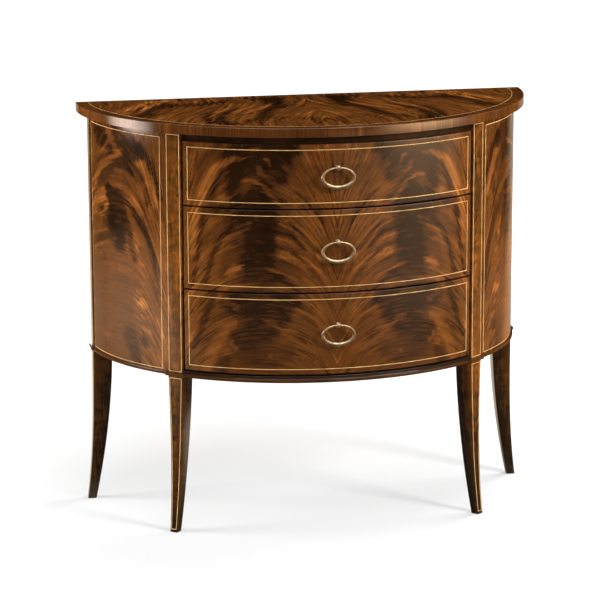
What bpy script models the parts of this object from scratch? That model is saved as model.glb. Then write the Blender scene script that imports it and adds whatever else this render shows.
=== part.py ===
"""A demilune cabinet: a half-oval carcass on four sabre legs, with three bowed drawers and ring pulls.

Lengths are in metres and +Z is up. Plan points are taken from the middle of the top's straight back edge, with
+X to the right and the front at -Y. The origin is under the middle of the whole cabinet, on the floor.
"""

import math

import bmesh
import bpy
from mathutils import Matrix, Vector

# Top board
TOP_WIDTH = 0.965
TOP_DEPTH = 0.420
TOP_THICKNESS = 0.0187
TOP_ARRIS = 0.0012
SIDE_OVERHANG = 0.0165
FRONT_OVERHANG = 0.012

# Heights, from the floor up
LEG_HEIGHT = 0.334
BASE_THICKNESS = 0.0130
BASE_REVEAL = 0.0026
BOTTOM_FRONT_HEIGHT = 0.1699
MIDDLE_FRONT_HEIGHT = 0.1703
TOP_FRONT_HEIGHT = 0.1308
FRONT_REVEAL = 0.0040
FRIEZE_REVEAL = 0.0006
FRIEZE_HEIGHT = 0.0158

# Clearances
SEAT_GAP = 0.0003
SHOULDER_GAP = 0.0004
RETURN_GAP = 0.0006
STOP_GAP = 0.0005
DRAWER_SIDE_GAP = 0.0015
DRAWER_HEADROOM = 0.008
DRAWER_REAR_GAP = 0.008
FRONT_END_GAP = 0.0053
CUT_OVERRUN = 0.004

# Posts and the sabre legs below them
FRONT_POST_SHARE = 0.684
POST_WIDTH = 0.035
POST_DEPTH = 0.041
POST_PROUD = 0.0018
POST_ARRIS = 0.0008
FOOT_WIDTH = 0.0165
FOOT_DEPTH = 0.0175
FOOT_SPLAY = 0.0156
SPLAY_POWER = 3.0
HOLLOW_POWER = 1.85
TAPER_POWER = 0.8

# Carcass
PANEL_SETBACK = 0.005
PANEL_THICKNESS = 0.018
BACK_SETBACK = 0.0145
BACK_PANEL_INSET = 0.003
BACK_PANEL_THICKNESS = 0.009
PARTITION_THICKNESS = 0.015
FRIEZE_WIDTH = 0.060
KICKER_WIDTH = 0.025
TOP_RAIL_WIDTH = 0.040

# Dust frames between the drawers
DIVIDER_THICKNESS = 0.016
DIVIDER_RAIL_WIDTH = 0.050
RUNNER_WIDTH = 0.040
REAR_RAIL_WIDTH = 0.040
HOUSING_DEPTH = 0.005
DUST_PANEL_THICKNESS = 0.005
DUST_TONGUE = 0.006

# Base moulding: a nosing, and above it a fascia; section points as shares of its projection and of the base's thickness
MOULDING_PROJECTION = 0.0043
NOSING_SHARES = (
    (0.00, 0.00),
    (0.80, 0.00),
    (1.00, 0.10),
    (1.00, 0.41),
    (0.80, 0.52),
    (0.50, 0.545),
)
FASCIA_SHARES = (
    (0.32, 0.59),
    (0.26, 1.00),
    (0.00, 1.00),
)

# Drawers
FRONT_THICKNESS = 0.026
LIP_THICKNESS = 0.012
SIDE_THICKNESS = 0.010
BACK_THICKNESS = 0.008
BACK_DROP = 0.006
BOTTOM_THICKNESS = 0.006
BOTTOM_RISE = 0.008
GROOVE_DEPTH = 0.004
TAIL_LENGTH = 0.009
TAIL_PITCH = 0.034
TAIL_SHARE = 0.60
TAIL_SLOPE_SHARE = 1 / 7

# Ring pulls
PULL_HEIGHT_SHARES = {"top": 0.644, "middle": 0.617, "bottom": 0.6245}
KNOB_STANDOFF = 0.012
KNOB_RADIUS = 0.006
KNOB_NECK_RADIUS = 0.0028
KNOB_COLLAR_RADIUS = 0.0052
KNOB_COLLAR_THICKNESS = 0.0014
KNOB_BORE_RADIUS = 0.0027
SHANK_RADIUS = 0.0025
SHANK_END = 0.0012
SHANK_HOLE_RADIUS = 0.0028
NUT_RADIUS = 0.005
NUT_THICKNESS = 0.004
RING_WIDTH = 0.066
RING_HEIGHT = 0.0416
RING_TOP_RADIUS = 0.0020
RING_FOOT_RADIUS = 0.0036

# How finely curves are stepped
TOP_STEPS = 96
FACE_STEPS = 36
RAIL_STEPS = 20
PANEL_STEPS = 20
RUNNER_STEPS = 3
LEG_STEPS = 11
TURNED_STEPS = 20
BALL_STEPS = 9
BORE_STEPS = 14
RING_STEPS = 30
SHARP_ANGLE = math.radians(30)
WELD_DISTANCE = 1e-6

# Colours, roughness and metallic value of each finish
FINISHES = {
    "flame_mahogany": ((0.235, 0.088, 0.030), 0.16, 0.0),
    "panel_mahogany": ((0.260, 0.115, 0.045), 0.16, 0.0),
    "leg_mahogany": ((0.120, 0.050, 0.020), 0.20, 0.0),
    "moulding_mahogany": ((0.110, 0.048, 0.020), 0.22, 0.0),
    "carcass_pine": ((0.330, 0.200, 0.095), 0.60, 0.0),
    "drawer_oak": ((0.400, 0.270, 0.140), 0.50, 0.0),
    "antique_brass": ((0.560, 0.440, 0.260), 0.28, 1.0),
}

# Plan of the carcass: the half ovals that its curved pieces follow
face_half_width = TOP_WIDTH / 2 - SIDE_OVERHANG
face_depth = TOP_DEPTH - FRONT_OVERHANG
panel_half_width = face_half_width - PANEL_SETBACK
panel_depth = face_depth - PANEL_SETBACK
rear_y = max(TOP_DEPTH, face_depth + KNOB_STANDOFF + KNOB_RADIUS) / 2

# Levels
base_top = LEG_HEIGHT + BASE_THICKNESS
bottom_front_low = base_top + BASE_REVEAL
bottom_front_high = bottom_front_low + BOTTOM_FRONT_HEIGHT
middle_front_low = bottom_front_high + FRONT_REVEAL
middle_front_high = middle_front_low + MIDDLE_FRONT_HEIGHT
top_front_low = middle_front_high + FRONT_REVEAL
top_front_high = top_front_low + TOP_FRONT_HEIGHT
frieze_low = top_front_high + FRIEZE_REVEAL
carcass_top = frieze_low + FRIEZE_HEIGHT
lower_divider_z = bottom_front_high + FRONT_REVEAL / 2
upper_divider_z = middle_front_high + FRONT_REVEAL / 2

# The nosing alone, closed along its back
nosing_shares = NOSING_SHARES + ((0, NOSING_SHARES[-1][1]),)

# Depths behind the back edge of the top
back_inner_y = -(BACK_SETBACK + BACK_PANEL_INSET + BACK_PANEL_THICKNESS)
rear_post_front_y = -(BACK_SETBACK + POST_WIDTH)
rear_post_inner_x = panel_half_width - POST_DEPTH

parts = bpy.data.collections.new("demilune_cabinet")
cutters = bpy.data.collections.new("cutters")


def clear_scene():
    for old in list(bpy.data.objects):
        bpy.data.objects.remove(old)
    for group in (parts, cutters):
        bpy.context.scene.collection.children.link(group)


def finish_material(name):
    if name in bpy.data.materials:
        return bpy.data.materials[name]
    colour, roughness, metallic = FINISHES[name]
    material = bpy.data.materials.new(name)
    material.use_nodes = True
    shader = material.node_tree.nodes["Principled BSDF"]
    shader.inputs["Base Color"].default_value = (*colour, 1.0)
    shader.inputs["Roughness"].default_value = roughness
    shader.inputs["Metallic"].default_value = metallic
    material.diffuse_color = (*colour, 1.0)
    return material


# Plan geometry


def ellipse_point(half_width, depth, angle):
    """A point of the half oval; its right end is at angle 0 and its left end at pi."""
    return (half_width * math.cos(angle), -depth * math.sin(angle))


def arc(half_width, depth, start, end, steps):
    return [ellipse_point(half_width, depth, start + (end - start) * i / steps) for i in range(steps + 1)]


def angle_at_x(half_width, x):
    return math.acos(x / half_width)


def angle_at_y(depth, y):
    return math.asin(-y / depth)


def crossing_angle(half_width, depth, point, along):
    """The angle where a line from a point outside the oval first meets it."""
    px, py = point[0] / half_width, point[1] / depth
    ax, ay = along[0] / half_width, along[1] / depth
    a = ax * ax + ay * ay
    b = px * ax + py * ay
    c = px * px + py * py - 1
    reach = (-b - math.sqrt(b * b - a * c)) / a
    return math.atan2(-(py + reach * ay), px + reach * ax)


def mirrored(points):
    return [(-x, y) for x, y in reversed(points)]


# The right front post's face stands square to the oval, a little proud of the drawer fronts.
post_spot = Vector(ellipse_point(face_half_width, face_depth, math.acos(FRONT_POST_SHARE)))
post_outward = Vector((post_spot.x / face_half_width**2, post_spot.y / face_depth**2)).normalized()
post_sideways = Vector((-post_outward.y, post_outward.x))
post_face = post_spot + post_outward * POST_PROUD
post_turn = math.atan2(post_outward.x, -post_outward.y)


def post_point(along, back):
    """A plan point measured along the right front post's face, outwards from its middle, and back from it."""
    return tuple(post_face + post_sideways * along - post_outward * back)


bay_half_width = post_point(-POST_WIDTH / 2, POST_DEPTH)[0]
box_half_width = bay_half_width - DRAWER_SIDE_GAP
box_inner_x = box_half_width - SIDE_THICKNESS
front_inner_half_width = face_half_width - FRONT_THICKNESS
front_inner_depth = face_depth - FRONT_THICKNESS
seat_y = ellipse_point(front_inner_half_width, front_inner_depth, angle_at_x(front_inner_half_width, box_inner_x))[1]
box_rear_y = back_inner_y - DRAWER_REAR_GAP
divider_half_width = front_inner_half_width - STOP_GAP
divider_depth = front_inner_depth - STOP_GAP


# Modelling helpers


def add_object(name, data, finish, carrier, location, rotation=(0, 0, 0)):
    """Puts a piece in the cabinet's collection, carried by an empty."""
    piece = bpy.data.objects.new(name, data)
    piece.location = (location[0], location[1] + rear_y, location[2])
    piece.rotation_euler = rotation
    parts.objects.link(piece)
    data.materials.append(finish_material(finish))
    piece.parent = carrier
    piece.matrix_parent_inverse = Matrix.Translation(-carrier.location)
    return piece


def add_cutter(name, data, location, rotation=(0, 0, 0)):
    cutter = bpy.data.objects.new(name, data)
    cutter.location = (location[0], location[1] + rear_y, location[2])
    cutter.rotation_euler = rotation
    cutter.hide_render = True
    cutter.display_type = "WIRE"
    cutters.objects.link(cutter)
    return cutter


def add_carrier(name, location):
    """An empty that carries pieces which move together."""
    carrier = bpy.data.objects.new(name, None)
    carrier.location = (location[0], location[1] + rear_y, location[2])
    carrier.empty_display_size = POST_WIDTH
    parts.objects.link(carrier)
    return carrier


def cut(piece, cutter):
    boolean = piece.modifiers.new(cutter.name, "BOOLEAN")
    boolean.operation = "DIFFERENCE"
    boolean.object = cutter


def smooth(mesh):
    mesh.shade_smooth()
    mesh.set_sharp_from_angle(angle=SHARP_ANGLE)
    return mesh


def outline_mesh(name, outline, thickness):
    """A flat board's mesh: a filled 2D outline with half its thickness to each side."""
    curve = bpy.data.curves.new(name, "CURVE")
    curve.dimensions = "2D"
    curve.fill_mode = "BOTH"
    curve.extrude = thickness / 2
    spline = curve.splines.new("POLY")
    spline.points.add(len(outline) - 1)
    for point, (x, y) in zip(spline.points, outline):
        point.co = (x, y, 0, 1)
    spline.use_cyclic_u = True
    shape = bpy.data.objects.new(name + "_outline", curve)
    bpy.context.scene.collection.objects.link(shape)
    graph = bpy.context.evaluated_depsgraph_get()
    mesh = bpy.data.meshes.new_from_object(shape.evaluated_get(graph))
    bpy.data.objects.remove(shape)
    work = bmesh.new()
    work.from_mesh(mesh)
    bmesh.ops.remove_doubles(work, verts=work.verts, dist=WELD_DISTANCE)
    bmesh.ops.recalc_face_normals(work, faces=work.faces)
    work.to_mesh(mesh)
    work.free()
    mesh.name = name
    return smooth(mesh)


def block_mesh(name, size):
    mesh = bpy.data.meshes.new(name)
    work = bmesh.new()
    bmesh.ops.create_cube(work, size=1)
    bmesh.ops.scale(work, vec=Vector(size), verts=work.verts)
    work.to_mesh(mesh)
    work.free()
    return mesh


def rod_mesh(name, radius, length, steps):
    mesh = bpy.data.meshes.new(name)
    work = bmesh.new()
    bmesh.ops.create_cone(work, cap_ends=True, segments=steps, radius1=radius, radius2=radius, depth=length)
    work.to_mesh(mesh)
    work.free()
    return mesh


def loft_mesh(name, sections):
    """A closed mesh through sections with equally many points each."""
    mesh = bpy.data.meshes.new(name)
    work = bmesh.new()
    rings = [[work.verts.new(point) for point in section] for section in sections]
    for lower, upper in zip(rings, rings[1:]):
        for i in range(len(lower)):
            j = (i + 1) % len(lower)
            work.faces.new((lower[i], lower[j], upper[j], upper[i]))
    work.faces.new(reversed(rings[0]))
    work.faces.new(rings[-1])
    bmesh.ops.recalc_face_normals(work, faces=work.faces)
    work.to_mesh(mesh)
    work.free()
    return smooth(mesh)


def board(name, outline, low, high, finish, carrier):
    """A board whose plan is the outline."""
    return add_object(name, outline_mesh(name, outline, high - low), finish, carrier, (0, 0, (low + high) / 2))


def board_cutter(name, outline, low, high):
    return add_cutter(name, outline_mesh(name, outline, high - low), (0, 0, (low + high) / 2))


def middle_and_size(low, high):
    middle = [(a + b) / 2 for a, b in zip(low, high)]
    return middle, [b - a for a, b in zip(low, high)]


def block(name, low, high, finish, carrier):
    """A rectangular board between two corners."""
    middle, size = middle_and_size(low, high)
    return add_object(name, block_mesh(name, size), finish, carrier, middle)


def block_cutter(name, low, high):
    middle, size = middle_and_size(low, high)
    return add_cutter(name, block_mesh(name, size), middle)


def add_arris(piece, width):
    arris = piece.modifiers.new("arris", "BEVEL")
    arris.width = width
    arris.segments = 2
    arris.limit_method = "ANGLE"
    arris.angle_limit = SHARP_ANGLE


# Top and carcass


def make_top(carrier):
    outline = arc(TOP_WIDTH / 2, TOP_DEPTH, math.pi, 0, TOP_STEPS)
    low = carcass_top + SEAT_GAP
    top = board("top_board", outline, low, low + TOP_THICKNESS, "flame_mahogany", carrier)
    add_arris(top, TOP_ARRIS)


def leg_sections():
    """Rectangles of one post from its foot up, with the face at y = 0 and the post's depth behind it."""
    sections = []
    hollow = POST_DEPTH + FOOT_SPLAY - FOOT_DEPTH
    for i in range(LEG_STEPS + 1):
        drop = 1 - i / LEG_STEPS
        half = (POST_WIDTH - (POST_WIDTH - FOOT_WIDTH) * drop**TAPER_POWER) / 2
        front = -FOOT_SPLAY * drop**SPLAY_POWER
        rear = POST_DEPTH - hollow * drop**HOLLOW_POWER
        z = LEG_HEIGHT * (1 - drop)
        sections.append([(-half, front, z), (half, front, z), (half, rear, z), (-half, rear, z)])
    half = POST_WIDTH / 2
    sections.append(
        [(-half, 0, carcass_top), (half, 0, carcass_top), (half, POST_DEPTH, carcass_top), (-half, POST_DEPTH, carcass_top)]
    )
    return sections


def post_places():
    """Name, face point and turn of each post; the legs splay where the posts face."""
    rear_middle_y = rear_post_front_y + POST_WIDTH / 2
    return (
        ("right_front", (post_face.x, post_face.y), post_turn),
        ("left_front", (-post_face.x, post_face.y), -post_turn),
        ("right_rear", (panel_half_width, rear_middle_y), math.pi / 2),
        ("left_rear", (-panel_half_width, rear_middle_y), -math.pi / 2),
    )


def make_posts(carrier):
    mesh = loft_mesh("sabre_post", leg_sections())
    for place, (x, y), turn in post_places():
        post = add_object(place + "_post", mesh.copy(), "leg_mahogany", carrier, (x, y, 0), (0, 0, turn))
        add_arris(post, POST_ARRIS)


def post_clearances(grow, high):
    """A cutter for each post's place in the base up to a height, larger than the post by a gap on every side."""
    low = LEG_HEIGHT - CUT_OVERRUN
    depth = POST_DEPTH + grow + CUT_OVERRUN
    size = (POST_WIDTH + 2 * grow, depth, high - low)
    z = (low + high) / 2
    found = []
    for place, (x, y), turn in post_places():
        back = POST_DEPTH + grow - depth / 2
        middle = Vector((x, y, z)) + Matrix.Rotation(turn, 3, "Z") @ Vector((0, back, 0))
        found.append(add_cutter(place + "_clearance", block_mesh(place + "_clearance", size), middle, (0, 0, turn)))
    return found


def make_end_panels(carrier):
    """Curved panels between each front post and the rear post behind it."""
    side = post_point(POST_WIDTH / 2 + SEAT_GAP, 0)
    rear = rear_post_front_y - SEAT_GAP
    inner_half_width = panel_half_width - PANEL_THICKNESS
    inner_depth = panel_depth - PANEL_THICKNESS
    outer_start = crossing_angle(panel_half_width, panel_depth, side, -post_outward)
    inner_start = crossing_angle(inner_half_width, inner_depth, side, -post_outward)
    outer = arc(panel_half_width, panel_depth, outer_start, angle_at_y(panel_depth, rear), PANEL_STEPS)
    inner = arc(inner_half_width, inner_depth, angle_at_y(inner_depth, rear), inner_start, PANEL_STEPS)
    outline = outer + inner
    board("right_end_panel", outline, LEG_HEIGHT, carcass_top, "panel_mahogany", carrier)
    board("left_end_panel", mirrored(outline), LEG_HEIGHT, carcass_top, "panel_mahogany", carrier)


def make_base_board(carrier, clearances):
    """The bottom of the carcass; it reaches the drawers' face in front and the end panels at the sides."""
    inner_half_width = panel_half_width - PANEL_THICKNESS - SEAT_GAP
    inner_depth = panel_depth - PANEL_THICKNESS - SEAT_GAP
    rear = back_inner_y - SEAT_GAP
    post_angle = math.acos(FRONT_POST_SHARE)
    side = arc(inner_half_width, inner_depth, post_angle, angle_at_y(inner_depth, rear), PANEL_STEPS)
    front = arc(face_half_width, face_depth, math.pi - post_angle, post_angle, FACE_STEPS)
    base = board("base_board", front + side + mirrored(side), LEG_HEIGHT, base_top, "carcass_pine", carrier)
    for clearance in clearances:
        cut(base, clearance)


def make_back_panel(carrier):
    half = rear_post_inner_x - SEAT_GAP
    low = (-half, back_inner_y, LEG_HEIGHT)
    high = (half, back_inner_y + BACK_PANEL_THICKNESS, carcass_top)
    block("back_panel", low, high, "carcass_pine", carrier)


def make_partitions(carrier):
    """Upright boards beside the drawers, bevelled in front to fit the backs of the posts and housed for the dividers."""
    outer_x = bay_half_width + PARTITION_THICKNESS
    post_back = Vector(post_point(0, POST_DEPTH + SEAT_GAP))
    slope = post_sideways.y / post_sideways.x
    front_points = [(x, post_back.y + (x - post_back.x) * slope) for x in (bay_half_width, outer_x)]
    rear = back_inner_y - SEAT_GAP
    outline = front_points + [(outer_x, rear), (bay_half_width, rear)]
    low, high = base_top + SEAT_GAP, frieze_low - SEAT_GAP
    rail_angle = angle_at_x(divider_half_width - DIVIDER_RAIL_WIDTH, bay_half_width)
    housing_y = ellipse_point(0, divider_depth - DIVIDER_RAIL_WIDTH, rail_angle)[1]
    half = DIVIDER_THICKNESS / 2 + SEAT_GAP
    for place, shape, sign in (("right", outline, 1), ("left", mirrored(outline), -1)):
        partition = board(place + "_partition", shape, low, high, "carcass_pine", carrier)
        ends = sorted((sign * (bay_half_width - CUT_OVERRUN), sign * (bay_half_width + HOUSING_DEPTH + SEAT_GAP)))
        for level, z in (("lower", lower_divider_z), ("upper", upper_divider_z)):
            corner, far = (ends[0], housing_y, z - half), (ends[1], rear + CUT_OVERRUN, z + half)
            cut(partition, block_cutter(f"{place}_{level}_housing", corner, far))


def rail_outline(half_width, depth, width):
    """A curved rail that fits between the front posts and runs back beside the drawers."""
    side = post_point(-POST_WIDTH / 2 - SEAT_GAP, 0)
    start = crossing_angle(half_width, depth, side, -post_outward)
    end_x = bay_half_width - SEAT_GAP
    heel = (end_x, side[1] - post_outward.y * (side[0] - end_x) / post_outward.x)
    back = angle_at_x(half_width - width, end_x)
    front = arc(half_width, depth, math.pi - start, start, RAIL_STEPS)
    rear = arc(half_width - width, depth - width, back, math.pi - back, RAIL_STEPS)
    return front + [heel] + rear + mirrored([heel])


def beside_rail_outline(half_width, depth, inner_x, outer_x, rear):
    """A board that runs back from a curved rail's inner edge."""
    edge = arc(half_width, depth, angle_at_x(half_width, inner_x), angle_at_x(half_width, outer_x), RUNNER_STEPS)
    return edge + [(outer_x, rear), (inner_x, rear)]


def make_top_frame(carrier):
    """The frieze rail over the drawers, a kicker over each pair of drawer sides, and the rail at the back."""
    outline = rail_outline(panel_half_width, panel_depth, FRIEZE_WIDTH)
    board("frieze_rail", outline, frieze_low, carcass_top, "leg_mahogany", carrier)
    rail_rear = back_inner_y - SEAT_GAP
    rail_front = rail_rear - TOP_RAIL_WIDTH
    half = rear_post_inner_x - SEAT_GAP
    block("top_rear_rail", (-half, rail_front, frieze_low), (half, rail_rear, carcass_top), "carcass_pine", carrier)
    kicker = beside_rail_outline(
        panel_half_width - FRIEZE_WIDTH - SEAT_GAP,
        panel_depth - FRIEZE_WIDTH - SEAT_GAP,
        bay_half_width - KICKER_WIDTH,
        bay_half_width + PARTITION_THICKNESS,
        rail_front - SEAT_GAP,
    )
    board("right_kicker", kicker, frieze_low, carcass_top, "carcass_pine", carrier)
    board("left_kicker", mirrored(kicker), frieze_low, carcass_top, "carcass_pine", carrier)


def dust_panel_outline(grow):
    """The thin panel in a dust frame, with its edges let into the frame."""
    half_width = divider_half_width - DIVIDER_RAIL_WIDTH + DUST_TONGUE + grow
    depth = divider_depth - DIVIDER_RAIL_WIDTH + DUST_TONGUE + grow
    side = bay_half_width - RUNNER_WIDTH + DUST_TONGUE + grow
    rear = back_inner_y - SEAT_GAP - REAR_RAIL_WIDTH + DUST_TONGUE + grow
    corner = angle_at_x(half_width, side)
    return arc(half_width, depth, math.pi - corner, corner, RAIL_STEPS) + [(side, rear), (-side, rear)]


def make_divider(level, z, carrier):
    """A dust frame that carries the drawer above it: front rail, two runners, rear rail and thin panel."""
    low, high = z - DIVIDER_THICKNESS / 2, z + DIVIDER_THICKNESS / 2
    rear = back_inner_y - SEAT_GAP
    rail_front = rear - REAR_RAIL_WIDTH
    half = bay_half_width + HOUSING_DEPTH
    outline = rail_outline(divider_half_width, divider_depth, DIVIDER_RAIL_WIDTH)
    runner = beside_rail_outline(
        divider_half_width - DIVIDER_RAIL_WIDTH - SEAT_GAP,
        divider_depth - DIVIDER_RAIL_WIDTH - SEAT_GAP,
        bay_half_width - RUNNER_WIDTH,
        half,
        rail_front - SEAT_GAP,
    )
    frame = (
        board(level + "_front_rail", outline, low, high, "leg_mahogany", carrier),
        board(level + "_right_runner", runner, low, high, "carcass_pine", carrier),
        board(level + "_left_runner", mirrored(runner), low, high, "carcass_pine", carrier),
        block(level + "_rear_rail", (-half, rail_front, low), (half, rear, high), "carcass_pine", carrier),
    )
    half_panel = DUST_PANEL_THICKNESS / 2
    outline = dust_panel_outline(0)
    board(level + "_dust_panel", outline, z - half_panel, z + half_panel, "carcass_pine", carrier)
    grown = half_panel + SEAT_GAP
    groove = board_cutter(level + "_dust_groove", dust_panel_outline(SEAT_GAP), z - grown, z + grown)
    for piece in frame:
        cut(piece, groove)


# Base moulding


def mitred_sweep(name, path, shares):
    """A moulding along plan points, its back on the path, its face to the right of the way it runs, with mitred turns."""
    steps = [(Vector(b) - Vector(a)).normalized() for a, b in zip(path, path[1:])]
    normals = [Vector((step.y, -step.x)) for step in steps]
    sections = []
    for i, point in enumerate(path):
        before, after = normals[max(i - 1, 0)], normals[min(i, len(normals) - 1)]
        mitre = (before + after) / (1 + before.dot(after))
        section = []
        for out_share, up_share in shares:
            spot = Vector(point) + mitre * (out_share * MOULDING_PROJECTION)
            section.append((spot.x, spot.y, up_share * BASE_THICKNESS))
        sections.append(section)
    return loft_mesh(name, sections)


def moulding(name, path, shares, carrier):
    return add_object(name, mitred_sweep(name, path, shares), "moulding_mahogany", carrier, (0, 0, LEG_HEIGHT))


def make_base_mouldings(carrier):
    """Runs along the drawers' face and both end panels, with a fascia in front only, and break-outs round the posts."""
    post_angle = math.acos(FRONT_POST_SHARE)
    face = (face_half_width + SEAT_GAP, face_depth + SEAT_GAP)
    panel = (panel_half_width + SEAT_GAP, panel_depth + SEAT_GAP)
    front_run = arc(*face, math.pi - post_angle, post_angle, FACE_STEPS)
    side_run = arc(*panel, post_angle, angle_at_y(panel[1], rear_post_front_y - SEAT_GAP), PANEL_STEPS)
    runs = (
        moulding("front_base_moulding", front_run, NOSING_SHARES + FASCIA_SHARES, carrier),
        moulding("right_base_moulding", side_run, nosing_shares, carrier),
        moulding("left_base_moulding", mirrored(side_run), nosing_shares, carrier),
    )
    nosing_top = LEG_HEIGHT + NOSING_SHARES[-1][1] * BASE_THICKNESS + SEAT_GAP
    nosing_clearances = post_clearances(MOULDING_PROJECTION + 2 * SEAT_GAP, nosing_top)
    for run in runs:
        for clearance in nosing_clearances:
            cut(run, clearance)
    for clearance in post_clearances(SEAT_GAP, base_top + CUT_OVERRUN)[:2]:
        cut(runs[0], clearance)
    make_break_outs(carrier)


def return_point(along, half_width, depth):
    """Where the moulding round a front post ends, just clear of the surface that the post stands out from."""
    side = post_point(along, 0)
    angle = crossing_angle(half_width + RETURN_GAP, depth + RETURN_GAP, side, -post_outward)
    return ellipse_point(half_width + RETURN_GAP, depth + RETURN_GAP, angle)


def make_break_outs(carrier):
    half = POST_WIDTH / 2 + SEAT_GAP
    front_path = [
        return_point(-half, face_half_width, face_depth),
        post_point(-half, -SEAT_GAP),
        post_point(half, -SEAT_GAP),
        return_point(half, panel_half_width, panel_depth),
    ]
    side_y = rear_post_front_y - SEAT_GAP
    face_x = panel_half_width + SEAT_GAP
    panel_x = ellipse_point(panel_half_width, panel_depth, angle_at_y(panel_depth, side_y))[0]
    rear_path = [(panel_x + RETURN_GAP, side_y), (face_x, side_y), (face_x, -BACK_SETBACK)]
    for place, path in (("front", front_path), ("rear", rear_path)):
        moulding(f"right_{place}_post_moulding", path, nosing_shares, carrier)
        moulding(f"left_{place}_post_moulding", mirrored(path), nosing_shares, carrier)


# Drawers


def drawer_front_outline():
    """A bowed front with lips that run out to the posts, and flat seats on its back for the drawer sides."""
    end = post_point(-POST_WIDTH / 2 - FRONT_END_GAP, 0)
    lip_half_width, lip_depth = face_half_width - LIP_THICKNESS, face_depth - LIP_THICKNESS
    outer_end = crossing_angle(face_half_width, face_depth, end, -post_outward)
    lip_end = crossing_angle(lip_half_width, lip_depth, end, -post_outward)
    lip_start = angle_at_x(lip_half_width, box_half_width)
    seat_end = angle_at_x(front_inner_half_width, box_inner_x)
    lip = arc(lip_half_width, lip_depth, lip_end, lip_start, RUNNER_STEPS)
    right_end = lip + [(box_half_width, seat_y)]
    outer = arc(face_half_width, face_depth, math.pi - outer_end, outer_end, FACE_STEPS)
    inner = arc(front_inner_half_width, front_inner_depth, seat_end, math.pi - seat_end, FACE_STEPS)
    return outer + right_end + inner + mirrored(right_end)


def drawer_bottom_outline(grow, rear):
    """The bottom board, let into grooves in the sides and the bowed front; it slides in from the back."""
    half_width = front_inner_half_width + GROOVE_DEPTH - SEAT_GAP + grow
    depth = front_inner_depth + GROOVE_DEPTH - SEAT_GAP + grow
    side = box_inner_x + GROOVE_DEPTH - SEAT_GAP + grow
    corner = angle_at_x(half_width, side)
    return arc(half_width, depth, math.pi - corner, corner, FACE_STEPS) + [(side, rear), (-side, rear)]


def tail_places(low, high):
    """The middle and the half height at the root of each dovetail between two heights."""
    count = max(1, round((high - low) / TAIL_PITCH))
    pitch = (high - low) / count
    return [(low + pitch * (i + 0.5), pitch * TAIL_SHARE / 2) for i in range(count)]


def drawer_side_outline(low, high, back_low, back_high, grow):
    """A drawer side seen from beside it, as (y, z) points, with dovetails at the front and at the back."""
    front = seat_y + SHOULDER_GAP - grow
    tail_front = seat_y - TAIL_LENGTH - grow
    rear = box_rear_y + grow
    rear_shoulder = box_rear_y - BACK_THICKNESS - SHOULDER_GAP + grow
    front_flare = (TAIL_LENGTH + SHOULDER_GAP) * TAIL_SLOPE_SHARE
    rear_flare = (BACK_THICKNESS + SHOULDER_GAP) * TAIL_SLOPE_SHARE
    foot = back_low - SHOULDER_GAP + grow
    head = back_high + SHOULDER_GAP - grow
    outline = [(front, low - grow), (rear, low - grow), (rear, foot), (rear_shoulder, foot)]
    for middle, half in tail_places(back_low, back_high):
        root, tip = half + grow, half + rear_flare + grow
        outline += [(rear_shoulder, middle - root), (rear, middle - tip)]
        outline += [(rear, middle + tip), (rear_shoulder, middle + root)]
    outline += [(rear_shoulder, head), (rear, head), (rear, high + grow), (front, high + grow)]
    for middle, half in reversed(tail_places(low, high)):
        root, tip = half + grow, half + front_flare + grow
        outline += [(front, middle + root), (tail_front, middle + tip)]
        outline += [(tail_front, middle - tip), (front, middle - root)]
    return outline


def upright_turn():
    """Turns an outline of (y, z) points upright, with its thickness along x."""
    return (math.pi / 2, 0, math.pi / 2)


def make_pull(prefix, z, carrier, front):
    """A turned knob bolted through the drawer front, and the ring that swings in its cross bore."""
    pivot = (0, -face_depth - KNOB_STANDOFF, z)
    inside = FRONT_THICKNESS + SEAT_GAP + NUT_THICKNESS + SHANK_END
    knob = add_object(prefix + "_knob", knob_profile(prefix, inside), "antique_brass", carrier, pivot, (math.pi / 2, 0, 0))
    turn = knob.modifiers.new("turned", "SCREW")
    turn.steps = turn.render_steps = TURNED_STEPS
    turn.use_merge_vertices = True
    turn.merge_threshold = WELD_DISTANCE
    bore = rod_mesh(prefix + "_bore", KNOB_BORE_RADIUS, 4 * KNOB_RADIUS, BORE_STEPS)
    cut(knob, add_cutter(prefix + "_bore", bore, pivot, (0, math.pi / 2, 0)))

    hole = rod_mesh(prefix + "_hole", SHANK_HOLE_RADIUS, 4 * FRONT_THICKNESS, BORE_STEPS)
    hole_cutter = add_cutter(prefix + "_hole", hole, (0, -face_depth, z), (math.pi / 2, 0, 0))
    cut(front, hole_cutter)
    nut = rod_mesh(prefix + "_nut", NUT_RADIUS, NUT_THICKNESS, 6)
    nut_y = -front_inner_depth + SEAT_GAP + NUT_THICKNESS / 2
    cut(add_object(prefix + "_nut", nut, "antique_brass", carrier, (0, nut_y, z), (math.pi / 2, 0, 0)), hole_cutter)
    make_ring(prefix + "_ring", pivot, carrier)


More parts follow.
